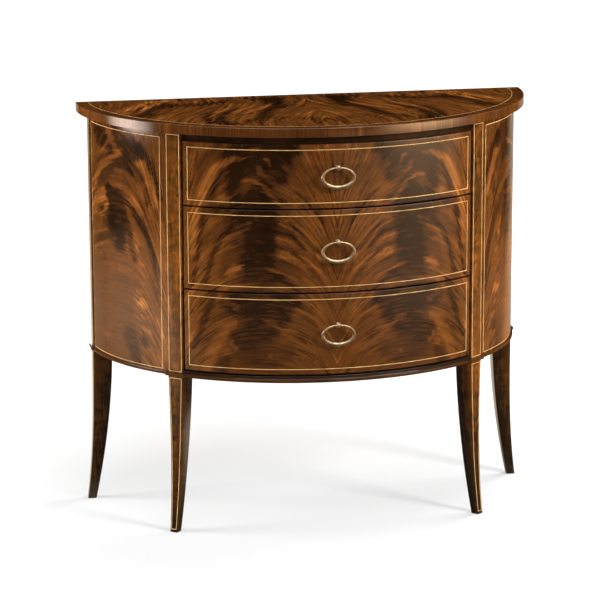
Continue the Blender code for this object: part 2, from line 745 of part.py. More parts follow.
def knob_profile(prefix, inside):
    """Half the knob's outline at +X, from the tip of its ball down to the end of its shank, about the ball's middle."""
    neck_angle = -math.acos(KNOB_NECK_RADIUS / KNOB_RADIUS)
    points = []
    for i in range(BALL_STEPS + 1):
        angle = math.pi / 2 + (neck_angle - math.pi / 2) * i / BALL_STEPS
        points.append((KNOB_RADIUS * math.cos(angle) if i else 0, KNOB_RADIUS * math.sin(angle)))
    collar_back = -KNOB_STANDOFF + SEAT_GAP
    collar_front = collar_back + KNOB_COLLAR_THICKNESS
    shank_end = -KNOB_STANDOFF - inside
    points += [(KNOB_NECK_RADIUS, collar_front), (KNOB_COLLAR_RADIUS, collar_front)]
    points += [(KNOB_COLLAR_RADIUS, collar_back), (SHANK_RADIUS, collar_back), (SHANK_RADIUS, shank_end), (0, shank_end)]
    mesh = bpy.data.meshes.new(prefix + "_knob")
    edges = [(i, i + 1) for i in range(len(points) - 1)]
    mesh.from_pydata([(x, 0, z) for x, z in points], edges, [])
    return mesh


def make_ring(name, pivot, carrier):
    """An oval ring that hangs from its top, with its rod thicker at the foot. Its origin is on its hinge line."""
    curve = bpy.data.curves.new(name, "CURVE")
    curve.dimensions = "3D"
    curve.bevel_depth = RING_FOOT_RADIUS
    curve.bevel_resolution = 3
    spline = curve.splines.new("POLY")
    spline.points.add(RING_STEPS - 1)
    for i, point in enumerate(spline.points):
        angle = 2 * math.pi * i / RING_STEPS
        low_share = (1 - math.cos(angle)) / 2
        point.co = (RING_WIDTH / 2 * math.sin(angle), 0, -RING_HEIGHT * low_share, 1)
        rod = RING_TOP_RADIUS + (RING_FOOT_RADIUS - RING_TOP_RADIUS) * low_share
        point.radius = rod / RING_FOOT_RADIUS
    spline.use_cyclic_u = True
    spline.use_smooth = True
    add_object(name, curve, "antique_brass", carrier, pivot)


def make_drawer(level, front_low, front_high, support_z, ceiling_z):
    """A drawer box of dovetailed sides and back behind a bowed front that covers the rails."""
    low, high = support_z + SEAT_GAP, ceiling_z - DRAWER_HEADROOM
    bottom_low = low + BOTTOM_RISE
    bottom_high = bottom_low + BOTTOM_THICKNESS
    back_low, back_high = bottom_high + SEAT_GAP, high - BACK_DROP
    pull_z = front_low + (front_high - front_low) * PULL_HEIGHT_SHARES[level]
    prefix = level + "_drawer"
    carrier = add_carrier(prefix + "_slide", (0, -face_depth, pull_z))

    front = board(prefix + "_front", drawer_front_outline(), front_low, front_high, "flame_mahogany", carrier)
    back_corner = (-box_half_width, box_rear_y - BACK_THICKNESS, back_low)
    back = block(prefix + "_back", back_corner, (box_half_width, box_rear_y, back_high), "drawer_oak", carrier)
    bottom_outline = drawer_bottom_outline(0, box_rear_y)
    board(prefix + "_bottom", bottom_outline, bottom_low, bottom_high, "drawer_oak", carrier)
    groove_outline = drawer_bottom_outline(SEAT_GAP, box_rear_y + CUT_OVERRUN)
    groove = board_cutter(prefix + "_groove", groove_outline, bottom_low - SEAT_GAP, bottom_high + SEAT_GAP)
    cut(front, groove)

    side_outline = drawer_side_outline(low, high, back_low, back_high, 0)
    socket_outline = drawer_side_outline(low, high, back_low, back_high, SEAT_GAP)
    socket_inner_x = box_inner_x - SEAT_GAP
    socket_outer_x = box_half_width + RETURN_GAP
    for place, sign in (("right", 1), ("left", -1)):
        name = f"{prefix}_{place}_side"
        x = sign * (box_inner_x + box_half_width) / 2
        mesh = outline_mesh(name, side_outline, SIDE_THICKNESS)
        side = add_object(name, mesh, "drawer_oak", carrier, (x, 0, 0), upright_turn())
        cut(side, groove)
        socket_mesh = outline_mesh(name + "_sockets", socket_outline, socket_outer_x - socket_inner_x)
        x = sign * (socket_inner_x + socket_outer_x) / 2
        sockets = add_cutter(name + "_sockets", socket_mesh, (x, 0, 0), upright_turn())
        cut(front, sockets)
        cut(back, sockets)
    make_pull(level + "_pull", pull_z, carrier, front)


def make_cabinet():
    clear_scene()
    carcass = add_carrier("carcass", (0, 0, 0))
    make_top(carcass)
    make_posts(carcass)
    make_end_panels(carcass)
    make_base_board(carcass, post_clearances(SEAT_GAP, base_top + CUT_OVERRUN))
    make_back_panel(carcass)
    make_partitions(carcass)
    make_top_frame(carcass)
    make_divider("lower", lower_divider_z, carcass)
    make_divider("upper", upper_divider_z, carcass)
    make_base_mouldings(carcass)
    half = DIVIDER_THICKNESS / 2
    make_drawer("bottom", bottom_front_low, bottom_front_high, base_top, lower_divider_z - half)
    make_drawer("middle", middle_front_low, middle_front_high, lower_divider_z + half, upper_divider_z - half)
    make_drawer("top", top_front_low, top_front_high, upper_divider_z + half, frieze_low)


make_cabinet()
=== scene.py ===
"""A demilune cabinet in figured mahogany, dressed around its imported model.

Lengths are in metres, and those of the veneer's figure in millimetres. Plan points are taken from the middle of the
top's straight back edge, as in the part's source, and moved back by REAR_Y when a mesh is made.
"""

import math

import bmesh
import bpy
import numpy as np
from mathutils import Matrix, Vector


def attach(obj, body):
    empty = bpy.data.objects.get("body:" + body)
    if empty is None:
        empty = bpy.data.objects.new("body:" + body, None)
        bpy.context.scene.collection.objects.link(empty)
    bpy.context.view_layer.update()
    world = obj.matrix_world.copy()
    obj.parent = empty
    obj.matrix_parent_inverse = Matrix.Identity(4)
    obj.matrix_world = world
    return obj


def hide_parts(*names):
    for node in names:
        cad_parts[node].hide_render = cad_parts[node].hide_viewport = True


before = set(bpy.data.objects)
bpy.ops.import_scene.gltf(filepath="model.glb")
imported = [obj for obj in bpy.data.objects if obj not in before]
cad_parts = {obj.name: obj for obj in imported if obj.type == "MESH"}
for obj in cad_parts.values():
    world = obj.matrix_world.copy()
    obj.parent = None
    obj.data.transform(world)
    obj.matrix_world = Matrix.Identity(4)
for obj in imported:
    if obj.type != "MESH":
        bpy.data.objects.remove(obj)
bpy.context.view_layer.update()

# The part's own sizes, repeated
REAR_Y = 0.213
TOP_HALF, TOP_DEPTH = 0.4825, 0.420
TOP_LOW, TOP_HIGH = 0.8453, 0.8640
TOP_ARRIS = 0.0012
FACE_HALF, FACE_DEPTH = 0.466, 0.408
PANEL_HALF, PANEL_DEPTH = 0.461, 0.403
CARCASS_TOP = 0.8450
LEG_HEIGHT = 0.334
POST_WIDTH, POST_DEPTH, POST_PROUD = 0.035, 0.041, 0.0018
FRONT_POST_SHARE = 0.684
BACK_SETBACK = 0.0145
FOOT_WIDTH, FOOT_DEPTH, FOOT_SPLAY = 0.0165, 0.0175, 0.0156
SPLAY_POWER, HOLLOW_POWER, TAPER_POWER = 3.0, 1.85, 0.8
SEAT_GAP = 0.0003
FRONT_END_GAP = 0.0053
BASE_THICKNESS = 0.0130
PROJECTION = 0.0043
DRAWER_LEVELS = {"bottom": (0.3496, 0.5195), "middle": (0.5235, 0.6938), "top": (0.6978, 0.8286)}
PIVOT_Y = -0.420
PIVOT_Z = {"top": 0.78204, "middle": 0.62858, "bottom": 0.45570}
MEAN_RADIUS = 0.43
UP, FORWARD = np.array([0.0, 0.0, 1.0]), np.array([0.0, -1.0, 0.0])


# The front post's place on the bowed face
post_x = FACE_HALF * FRONT_POST_SHARE
post_spot = np.array([post_x, -FACE_DEPTH * math.sqrt(1 - (post_x / FACE_HALF) ** 2)])
post_outward = np.array([post_spot[0] / FACE_HALF**2, post_spot[1] / FACE_DEPTH**2])
post_outward /= np.linalg.norm(post_outward)
post_sideways = np.array([-post_outward[1], post_outward[0]])
post_face = post_spot + post_outward * POST_PROUD
rear_post_front_y = -(BACK_SETBACK + POST_WIDTH)


def post_point(along, back):
    return post_face + post_sideways * along - post_outward * back


def crossing_angle(half, depth, along):
    """The angle where a line straight inwards from a point along the front post's face first meets an oval."""
    (px, py), (ax, ay) = post_point(along, 0) / (half, depth), -post_outward / (half, depth)
    a, b, c = ax * ax + ay * ay, px * ax + py * ay, px * px + py * py - 1
    reach = (-b - math.sqrt(b * b - a * c)) / a
    return math.atan2(-(py + reach * ay), px + reach * ax)


# Mesh helpers

ARRIS_STEPS = 4


def unit(vectors):
    return vectors / np.linalg.norm(vectors, axis=-1, keepdims=True)


def add_object(name, data):
    made = bpy.data.objects.new(name, data)
    bpy.context.scene.collection.objects.link(made)
    return made


def add_piece(name, points, faces, material, body, replaces=(), fields=None, sharp=32):
    """A closed mesh piece that rides on a body; fields are values per point that the material reads."""
    points = np.array(points, float)
    points[:, 1] += REAR_Y
    mesh = bpy.data.meshes.new(name)
    mesh.from_pydata(points.tolist(), [], [list(map(int, face)) for face in faces])
    for key, values in (fields or {}).items():
        values = np.asarray(values, np.float32)
        kind, slot_name = ("FLOAT", "value") if values.ndim == 1 else ("FLOAT_VECTOR", "vector")
        mesh.attributes.new(key, kind, "POINT").data.foreach_set(slot_name, values.ravel())
    work = bmesh.new()
    work.from_mesh(mesh)
    bmesh.ops.recalc_face_normals(work, faces=work.faces)
    work.to_mesh(mesh)
    work.free()
    mesh.polygons.foreach_set("use_smooth", [True] * len(mesh.polygons))
    mesh.set_sharp_from_angle(angle=math.radians(sharp))
    mesh.materials.append(material)
    piece = add_object(name, mesh)
    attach(piece, body)
    if replaces:
        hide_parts(*replaces)
    return piece


def slab(grid, normals, depth, arris=0.0, pointed=False):
    """A closed board under a grid of surface points, with rounded edges; returns points, faces and each point's source.

    The grid's rows run from one long edge to the other. With pointed, its first and last columns are single points.
    """
    rows, columns = grid.shape[:2]
    normals = np.broadcast_to(normals, grid.shape)
    index = np.arange(rows * columns).reshape(rows, columns)
    if pointed:
        index[:, [0, -1]] = index[0, [0, -1]]
    edge = np.concatenate([index[0], index[1:, -1], index[-1, -2::-1], index[-2:0:-1, 0]])
    edge = np.array(list(dict.fromkeys(edge.tolist())))
    faces = []

    def add_face(corners):
        corners = list(dict.fromkeys(corners))
        if len(corners) > 2:
            faces.append(corners)

    for i in range(rows - 1):
        for j in range(columns - 1):
            add_face([index[i, j], index[i, j + 1], index[i + 1, j + 1], index[i + 1, j]])
    spots, ups = grid.reshape(-1, 3)[edge], normals.reshape(-1, 3)[edge]
    steps = unit(np.roll(spots, -1, axis=0) - spots)
    outs_after = unit(np.cross(steps, ups))
    outs_before = np.roll(outs_after, 1, axis=0)
    outs = (outs_before + outs_after) / (1 + np.sum(outs_before * outs_after, -1, keepdims=True))
    if np.sum(outs * (spots - grid.reshape(-1, 3).mean(0))) < 0:
        outs = -outs
    turns = np.linspace(0, math.pi / 2, ARRIS_STEPS + 1)[1:] if arris else ()
    profile = [(arris * math.sin(a), arris * (1 - math.cos(a))) for a in turns] + [(arris, depth)]
    points = [grid.reshape(-1, 3)]
    sources = [np.arange(rows * columns)]
    before = edge
    for out, back in profile:
        points.append(spots + outs * out - ups * back)
        sources.append(edge)
        after = rows * columns + (len(points) - 2) * len(edge) + np.arange(len(edge))
        faces += np.stack([before, np.roll(before, -1), np.roll(after, -1), after], -1).tolist()
        before = after
    under = np.zeros(rows * columns, int)
    under[edge] = before
    under = under[index]
    for j in range(columns - 1):
        ring = [under[0, j], under[0, j + 1]]
        if j == columns - 2:
            ring += list(under[1:-1, -1])
        ring += [under[-1, j + 1], under[-1, j]]
        if j == 0:
            ring += list(under[-2:0:-1, 0])
        add_face(ring)
    return np.concatenate(points), faces, np.concatenate(sources)


def sweep(spots, outs, ups, section, closed=False):
    """A bar whose section is given as (out, up) pairs along a path; returns points and faces."""
    spots, outs, ups = np.broadcast_arrays(np.array(spots, float), outs, ups)
    size, count = len(section), len(spots)
    points = np.concatenate([spots[:, None] + outs[:, None] * s + ups[:, None] * u for s, u in section], axis=1)
    faces = []
    for i in range(count if closed else count - 1):
        a, b = i * size, (i + 1) % count * size
        faces += [[a + k, b + k, b + (k + 1) % size, a + (k + 1) % size] for k in range(size)]
    if not closed:
        faces += [list(range(size)), list(range((count - 1) * size, count * size))]
    return points.reshape(-1, 3), faces


def joined(*shells):
    points, faces, start = [], [], 0
    for shell_points, shell_faces in shells:
        points.append(shell_points)
        faces += [[start + k for k in face] for face in shell_faces]
        start += len(shell_points)
    return np.concatenate(points), faces


# The veneer's figure: strokes of tone laid along the way the grain flows


def smoothstep(low, high, value):
    share = np.clip((value - low) / (high - low), 0, 1)
    return share * share * (3 - 2 * share)


def wander(value, seed):
    """A smooth, even wobble between about -1 and 1."""
    return sum(np.sin(value * rate + seed * turn + turn) / weight for rate, turn, weight in
               ((1.0, 1.3, 1.6), (2.3, 2.1, 2.2), (4.9, 0.7, 3.2), (9.7, 5.2, 6.0)))


FORK_Z, CLIMB, CLIMB_BEND = 380, 0.0185, 1.6e-5
FLAME_SPAN, FLAME_ROOT = 304.0, 0.20
PANEL_FLOW, PANEL_BEND, PANEL_TURN, PANEL_TURN_FROM = 0.0075, 2.14e-5, 7.8e-7, 175


def climb(z):
    """How far up the tree's fork a height is; z in millimetres."""
    return CLIMB * (z - FORK_Z) - CLIMB_BEND * (z - FORK_Z) ** 2


def climb_rate(z):
    return CLIMB - 2 * CLIMB_BEND * (z - FORK_Z)


def flame_across(x):
    return np.log(np.abs(np.sin(np.pi * x / FLAME_SPAN)) + FLAME_ROOT)


def flame_across_rate(x):
    a = np.pi * x / FLAME_SPAN
    return np.pi / FLAME_SPAN * np.cos(a) / (np.abs(np.sin(a)) + FLAME_ROOT)


def panel_across(u):
    return PANEL_FLOW * u - PANEL_BEND * u**2 - PANEL_TURN * np.maximum(0, u - PANEL_TURN_FROM) ** 3


def panel_across_rate(u):
    return PANEL_FLOW - 2 * PANEL_BEND * u - 3 * PANEL_TURN * np.maximum(0, u - PANEL_TURN_FROM) ** 2


def lay_strokes(x, z, t, tone, strokes):
    """Blends strokes over a tone, in order.

    A stroke is its own tone, edge and strength, and then x, z and half width for each of its points.
    """
    for number, (value, edge, strength, *places) in enumerate(strokes):
        places = np.reshape(places, (-1, 3))
        near = np.full(x.shape, np.inf)
        for (x0, z0, w0), (x1, z1, w1) in zip(places, places[1:]):
            dx, dz = x1 - x0, z1 - z0
            share = np.clip(((x - x0) * dx + (z - z0) * dz) / (dx * dx + dz * dz), 0, 1)
            width = w0 + (w1 - w0) * share
            near = np.minimum(near, np.hypot(x - x0 - share * dx, z - z0 - share * dz) / width)
        edge = min(0.95, edge + 0.1)
        streaks = 1 - (0.28 if value > 0.4 else 0.05) * (1 + wander(t * 34, number))
        cover = strength * streaks * (1 - smoothstep(1 - edge, 1 + edge, near))
        tone = tone * (1 - cover) + value * cover
    return tone


def flow_fields(x, z, t, run_x, run_z, base, strokes, ragged, seed, still=0.0):
    """A figured face's fields: where the grain is, its tone with edges frayed along the run, and how plain it is."""
    run = unit(np.stack([run_x, run_z], -1))
    fray = ragged * wander(t * 22, seed)
    tone = lay_strokes(x + run[..., 0] * fray, z + run[..., 1] * fray, t, base, strokes)
    return {"figure": np.stack([x / 100, z / 100, t], -1), "tone": tone, "still": np.zeros(x.shape) + still}


def spread(fields, source):
    """Each field of a grid, at every point of the slab made from it."""
    return {key: value.reshape(-1, *value.shape[2:])[source] for key, value in fields.items()}


# On the drawers: across from the middle, and up from the floor
DRAWER_STROKES = (
    # fan rising from the middle
    (0.5, 0.9, 0.8, 0, 380, 60, 0, 620, 60, 0, 800, 70),
    (0.64, 0.6, 0.7, 290, 800, 8, 286, 700, 12, 280, 600, 16, 284, 480, 18, 286, 400, 14),
    (0.2, 0.6, 0.8, 150, 735, 12, 120, 716, 10, 100, 712, 8),
    (0.2, 0.6, 0.7, 146, 665, 10, 138, 620, 12, 136, 590, 12),
    # top drawer: near-black hollow with its wisps and the plume below it
    (0.13, 0.5, 0.95, 92, 816, 14, 130, 796, 34, 178, 794, 34, 206, 806, 26),
    (0.15, 0.5, 0.9, 196, 790, 20, 206, 750, 15, 204, 712, 14),
    (0.17, 0.5, 0.85, 112, 764, 14, 160, 735, 16, 172, 700, 16),
    (0.6, 0.5, 0.7, 162, 782, 4, 120, 744, 7, 92, 717, 9),
    (0.72, 0.4, 0.8, 133, 782, 3, 140, 797, 5, 146, 800, 3),
    (0.73, 0.45, 0.9, 188, 756, 2, 168, 757, 3.5, 148, 742, 4, 119, 708, 5),
    (0.78, 0.5, 0.85, 183, 803, 4, 212, 797, 6, 236, 780, 8, 251, 762, 9, 266, 730, 10, 278, 690, 9, 284, 600, 7),
    (0.58, 0.5, 0.7, 240, 737, 5, 224, 712, 8),
    (0.3, 0.6, 0.7, 226, 826, 8, 262, 800, 6, 280, 760, 5, 290, 720, 4),
    (0.62, 0.6, 0.6, 262, 826, 10, 290, 780, 10),
    (0.22, 0.5, 0.75, 228, 772, 7, 240, 745, 6, 252, 712, 5),
    # middle drawer: the wing, its dark ground and the arcs outside it
    (0.14, 0.4, 0.95, 160, 690, 40, 162, 640, 36, 166, 590, 34),
    (0.17, 0.5, 0.9, 190, 690, 26, 236, 690, 14),
    (0.46, 0.3, 0.9, 30, 590, 30, 70, 628, 34, 98, 640, 22, 106, 612, 18),
    (0.66, 0.4, 0.9, 114, 666, 4, 96, 656, 5, 66, 626, 6, 36, 592, 5),
    (0.26, 0.5, 0.8, 112, 652, 3, 92, 642, 4, 66, 612, 4),
    (0.64, 0.4, 0.8, 119, 634, 3, 100, 630, 4, 76, 606, 4, 48, 574, 4),
    (0.3, 0.5, 0.7, 112, 616, 3, 94, 612, 3, 70, 590, 3),
    (0.58, 0.4, 0.7, 116, 598, 3, 98, 594, 4, 70, 574, 4),
    (0.25, 0.5, 0.8, 100, 672, 4, 74, 646, 4, 44, 606, 3),
    (0.24, 0.6, 0.8, 178, 552, 22, 150, 545, 16, 120, 560, 12),
    (0.2, 0.5, 0.7, 126, 560, 5, 92, 540, 6, 60, 528, 6),
    (0.68, 0.4, 0.9, 144, 576, 3, 120, 567, 4, 92, 553, 5, 54, 533, 6),
    (0.55, 0.5, 0.8, 176, 664, 5, 208, 640, 8, 234, 600, 10, 250, 545, 9),
    (0.22, 0.5, 0.8, 202, 668, 6, 228, 640, 6, 246, 600, 5, 262, 540, 5),
    (0.4, 0.6, 0.7, 200, 620, 14, 215, 590, 14, 225, 545, 12),
    (0.8, 0.5, 0.85, 190, 573, 4, 205, 572, 7, 216, 562, 6),
    (0.2, 0.5, 0.8, 262, 690, 6, 270, 640, 5, 276, 590, 4, 286, 530, 4),
    (0.5, 0.6, 0.6, 130, 530, 10, 230, 528, 10),
    # bottom drawer
    (0.17, 0.35, 0.95, 96, 506, 20, 150, 484, 34, 205, 500, 24),
    (0.19, 0.4, 0.9, 110, 470, 16, 160, 440, 34, 196, 430, 20),
    (0.26, 0.5, 0.8, 176, 396, 26, 130, 386, 22, 100, 400, 14),
    (0.6, 0.5, 0.8, 152, 468, 3, 128, 456, 5, 96, 432, 7, 40, 400, 8),
    (0.56, 0.5, 0.7, 138, 391, 4, 112, 382, 5, 74, 366, 6),
    (0.42, 0.7, 0.7, 100, 402, 10, 150, 408, 10),
    (0.66, 0.5, 0.7, 240, 512, 6, 216, 500, 7, 200, 488, 5),
    (0.66, 0.5, 0.8, 205, 455, 5, 220, 446, 8, 236, 420, 10, 250, 392, 10, 262, 352, 10),
    (0.62, 0.4, 0.8, 212, 416, 3, 204, 404, 4),
    (0.6, 0.4, 0.8, 226, 398, 6, 214, 394, 5),
    (0.22, 0.5, 0.8, 242, 520, 6, 258, 480, 7, 274, 430, 6, 286, 400, 5),
    (0.24, 0.5, 0.7, 222, 380, 10, 236, 352, 12),
    (0.6, 0.6, 0.6, 272, 520, 6, 284, 470, 7, 292, 420, 6),
)

# On the end panels: along from the rear edge, and up from the floor
PANEL_STROKES = (
    (0.16, 0.3, 0.95, 33, 840, 9, 33, 340, 9),
    (0.14, 0.4, 0.9, 80, 815, 16, 115, 806, 20, 140, 790, 12),
    (0.17, 0.45, 0.9, 170, 830, 18, 205, 800, 26, 235, 790, 18),
    (0.22, 0.5, 0.8, 95, 715, 16, 140, 748, 16, 190, 760, 22, 235, 735, 20),
    (0.6, 0.5, 0.6, 55, 835, 8, 60, 790, 8, 56, 740, 8),
    (0.6, 0.4, 0.7, 92, 766, 3, 134, 803, 4, 158, 816, 4),
    (0.74, 0.45, 0.9, 52, 690, 10, 78, 720, 11, 104, 744, 9, 150, 771, 6, 188, 788, 4),
    (0.12, 0.35, 0.95, 135, 700, 14, 165, 670, 36, 165, 630, 34, 175, 605, 24),
    (0.76, 0.25, 0.9, 45, 640, 12, 78, 668, 18, 108, 684, 18, 122, 672, 14),
    (0.5, 0.5, 0.7, 60, 610, 26, 100, 630, 16, 125, 625, 8),
    (0.26, 0.5, 0.8, 52, 571, 7, 92, 590, 8, 126, 600, 8, 156, 602, 8),
    (0.62, 0.5, 0.7, 60, 562, 4, 110, 582, 5, 160, 602, 4),
    (0.62, 0.5, 0.8, 162, 745, 4, 200, 744, 7, 230, 725, 10, 255, 700, 10),
    (0.62, 0.5, 0.8, 144, 713, 3, 187, 712, 5, 219, 696, 6, 250, 662, 7, 281, 612, 7, 298, 570, 7),
    (0.16, 0.5, 0.85, 150, 700, 5, 194, 690, 7, 225, 665, 8, 259, 621, 8, 281, 565, 7, 298, 500, 6),
    (0.74, 0.4, 0.85, 232, 770, 6, 256, 770, 9, 270, 728, 10, 284, 690, 10),
    (0.18, 0.4, 0.9, 240, 808, 9, 268, 776, 9, 288, 730, 6, 296, 700, 5),
    (0.48, 0.6, 0.7, 262, 830, 14, 288, 800, 12),
    (0.2, 0.5, 0.7, 258, 718, 8, 262, 690, 8),
    (0.6, 0.5, 0.7, 206, 658, 5, 232, 630, 8, 252, 590, 10, 262, 540, 12),
    (0.82, 0.4, 0.9, 222, 618, 5, 232, 600, 8, 230, 592, 5),
    (0.28, 0.4, 0.8, 205, 640, 7, 208, 600, 10, 222, 572, 10),
    (0.64, 0.5, 0.8, 240, 550, 10, 262, 500, 16, 276, 440, 18, 286, 360, 18),
    (0.72, 0.4, 0.8, 170, 540, 3, 205, 538, 4, 232, 532, 5, 248, 520, 6),
    (0.8, 0.4, 0.8, 226, 502, 4, 244, 498, 6),
    (0.86, 0.4, 0.9, 232, 474, 5, 246, 480, 9, 250, 470, 6),
    (0.74, 0.4, 0.8, 246, 446, 5, 262, 440, 7),
    (0.78, 0.4, 0.8, 244, 422, 3, 262, 418, 6),
    (0.3, 0.4, 0.8, 245, 398, 10, 250, 390, 8),
    (0.66, 0.4, 0.8, 246, 378, 4, 266, 380, 8),
    (0.6, 0.3, 0.7, 242, 456, 1.6, 230, 424, 2.2),
    (0.56, 0.3, 0.7, 232, 400, 3, 212, 356, 2.4),
    (0.24, 0.4, 0.8, 205, 400, 20, 225, 352, 14),
)

# On the top: across from the middle, and forward from the back edge
TOP_STROKES = (
    (0.16, 0.4, 0.9, 60, 40, 20, 84, 45, 22, 112, 40, 18),
    (0.14, 0.4, 0.9, 70, 60, 22, 72, 110, 26, 70, 150, 18),
    (0.18, 0.6, 0.85, 88, 150, 10, 108, 190, 20, 124, 240, 16, 122, 290, 24, 138, 312, 12),
    (0.54, 0.5, 0.8, 0, 130, 40, 0, 300, 60),
    (0.68, 0.5, 0.8, 122, 60, 12, 132, 120, 14, 150, 190, 22, 172, 270, 22),
    (0.2, 0.4, 0.85, 228, 200, 8, 240, 250, 10, 235, 310, 14, 200, 335, 16),
    (0.18, 0.4, 0.85, 165, 55, 10, 215, 85, 14, 280, 92, 16, 318, 90, 16),
    (0.2, 0.7, 0.8, 300, 60, 8, 318, 104, 20, 346, 140, 12, 356, 190, 20, 380, 216, 8),
    (0.8, 0.5, 0.85, 300, 8, 12, 335, 60, 22, 368, 110, 24, 392, 160, 16),
    (0.34, 0.5, 0.7, 6, 320, 8, 50, 300, 10, 88, 288, 8),
    (0.72, 0.5, 0.7, 190, 20, 10, 230, 40, 16, 262, 30, 16),
    (0.25, 0.3, 0.8, 300, 10, 3, 332, 60, 4, 362, 120, 5, 380, 165, 5),
    (0.95, 0.3, 0.8, 315, 14, 4, 350, 70, 6, 385, 130, 5),
    (0.9, 0.3, 0.8, 285, 6, 4, 318, 60, 5, 350, 120, 5, 370, 172, 4),
    (0.28, 0.3, 0.8, 196, 10, 4, 226, 28, 5, 262, 18, 5),
    (0.9, 0.3, 0.8, 84, 112, 7, 108, 152, 9, 138, 200, 8),
    (0.24, 0.4, 0.8, 160, 150, 7, 196, 200, 9, 214, 262, 10, 214, 330, 9),
    (0.82, 0.3, 0.8, 140, 150, 3, 182, 200, 3, 200, 250, 3, 204, 310, 3),
    (0.8, 0.3, 0.8, 128, 160, 3, 165, 212, 3, 180, 262, 3, 184, 320, 3),
    (0.84, 0.3, 0.8, 176, 152, 3, 212, 196, 3, 230, 246, 3, 234, 300, 3),
    (0.3, 0.4, 0.8, 150, 180, 4, 173, 226, 4, 190, 290, 4),
    (0.78, 0.4, 0.7, 60, 312, 5, 120, 300, 8, 170, 330, 6),
)

# Materials


def node(tree, kind, inputs=None, **settings):
    made = tree.nodes.new("ShaderNode" + kind)
    for key, value in settings.items():
        setattr(made, key, value)
    for key, value in (inputs or {}).items():
        if isinstance(value, bpy.types.NodeSocket):
            tree.links.new(value, made.inputs[key])
        else:
            made.inputs[key].default_value = value
    return made


def maths(tree, operation, *values):
    return node(tree, "Math", dict(enumerate(values)), operation=operation).outputs[0]


def span(tree, value, low, high, at_low=0.0, at_high=1.0):
    """A value's place between low and high, as a number from at_low to at_high."""
    limits = {"Value": value, "From Min": low, "From Max": high, "To Min": at_low, "To Max": at_high}
    return node(tree, "MapRange", limits).outputs[0]


def cleared_tree(owner):
    owner.use_nodes = True
    owner.node_tree.nodes.clear()
    return owner.node_tree


def new_material(name, **settings):
    material = bpy.data.materials.new(name)
    tree = cleared_tree(material)
    shader = node(tree, "BsdfPrincipled")
    for key, value in settings.items():
        shader.inputs[key.replace("_", " ")].default_value = value
    node(tree, "OutputMaterial", {0: shader.outputs[0]})
    return material, tree, shader


def ramp(tree, value, positions, colours):
    made = node(tree, "ValToRGB", {0: value})
    elements = made.color_ramp.elements
    while len(elements) < len(colours):
        elements.new(0.5)
    for element, position, colour in zip(elements, positions, colours):
        element.position = position
        element.color = (*colour, 1.0)
    return made.outputs["Color"]


def scaled(tree, place, scales, detail, roughness=0.5, distortion=0.0):
    """Noise of a place stretched by its own scale on each axis."""
    stretched = node(tree, "VectorMath", {0: place, 1: scales}, operation="MULTIPLY").outputs[0]
    values = {"Vector": stretched, "Scale": 1.0, "Detail": detail, "Roughness": roughness, "Distortion": distortion}
    return node(tree, "TexNoise", values).outputs["Fac"]


def mixed(tree, base, *layers):
    """A base with layers added to it, each a share of a noise around its middle."""
    for share, noise in layers:
        base = maths(tree, "MULTIPLY_ADD", maths(tree, "SUBTRACT", noise, 0.5), share, base)
    return base


def dress_surface(tree, shader, colour, grain, roughness, height, strength, distance):
    """Gives a surface its colour, a roughness that follows the grain, and a bump."""
    tree.links.new(colour, shader.inputs["Base Color"])
    tree.links.new(span(tree, grain, 0.3, 0.7, *roughness), shader.inputs["Roughness"])
    bump = node(tree, "Bump", {"Strength": strength, "Distance": distance, "Height": height})
    tree.links.new(bump.outputs[0], shader.inputs["Normal"])


# Colours from dark to light
MAHOGANY = (
    (0.006, 0.0023, 0.001), (0.019, 0.007, 0.0024), (0.064, 0.0205, 0.0046),
    (0.145, 0.046, 0.0085), (0.29, 0.094, 0.018), (0.48, 0.17, 0.04),
)
UMBER = (
    (0.006, 0.003, 0.0014), (0.019, 0.0088, 0.0034), (0.064, 0.0225, 0.005),
    (0.15, 0.046, 0.007), (0.29, 0.088, 0.013), (0.48, 0.16, 0.03),
)
PINE = ((0.24, 0.125, 0.05), (0.4, 0.245, 0.115), (0.52, 0.36, 0.19))
# Painted shade: near-black mahogany for parts seen mostly in gaps and under the top
PAINTED_SHADE_COLOURS = ((0.008, 0.003, 0.001), (0.021, 0.008, 0.002), (0.04, 0.014, 0.004))
OAK = ((0.25, 0.145, 0.065), (0.4, 0.265, 0.135), (0.5, 0.36, 0.2))
CORE = ((0.018, 0.006, 0.002), (0.055, 0.018, 0.005), (0.1, 0.034, 0.009))
BOXWOOD = ((0.42, 0.24, 0.085), (0.64, 0.39, 0.15), (0.76, 0.5, 0.22))
BRASS = ((0.2, 0.135, 0.07), (0.4, 0.285, 0.16), (0.56, 0.43, 0.27))


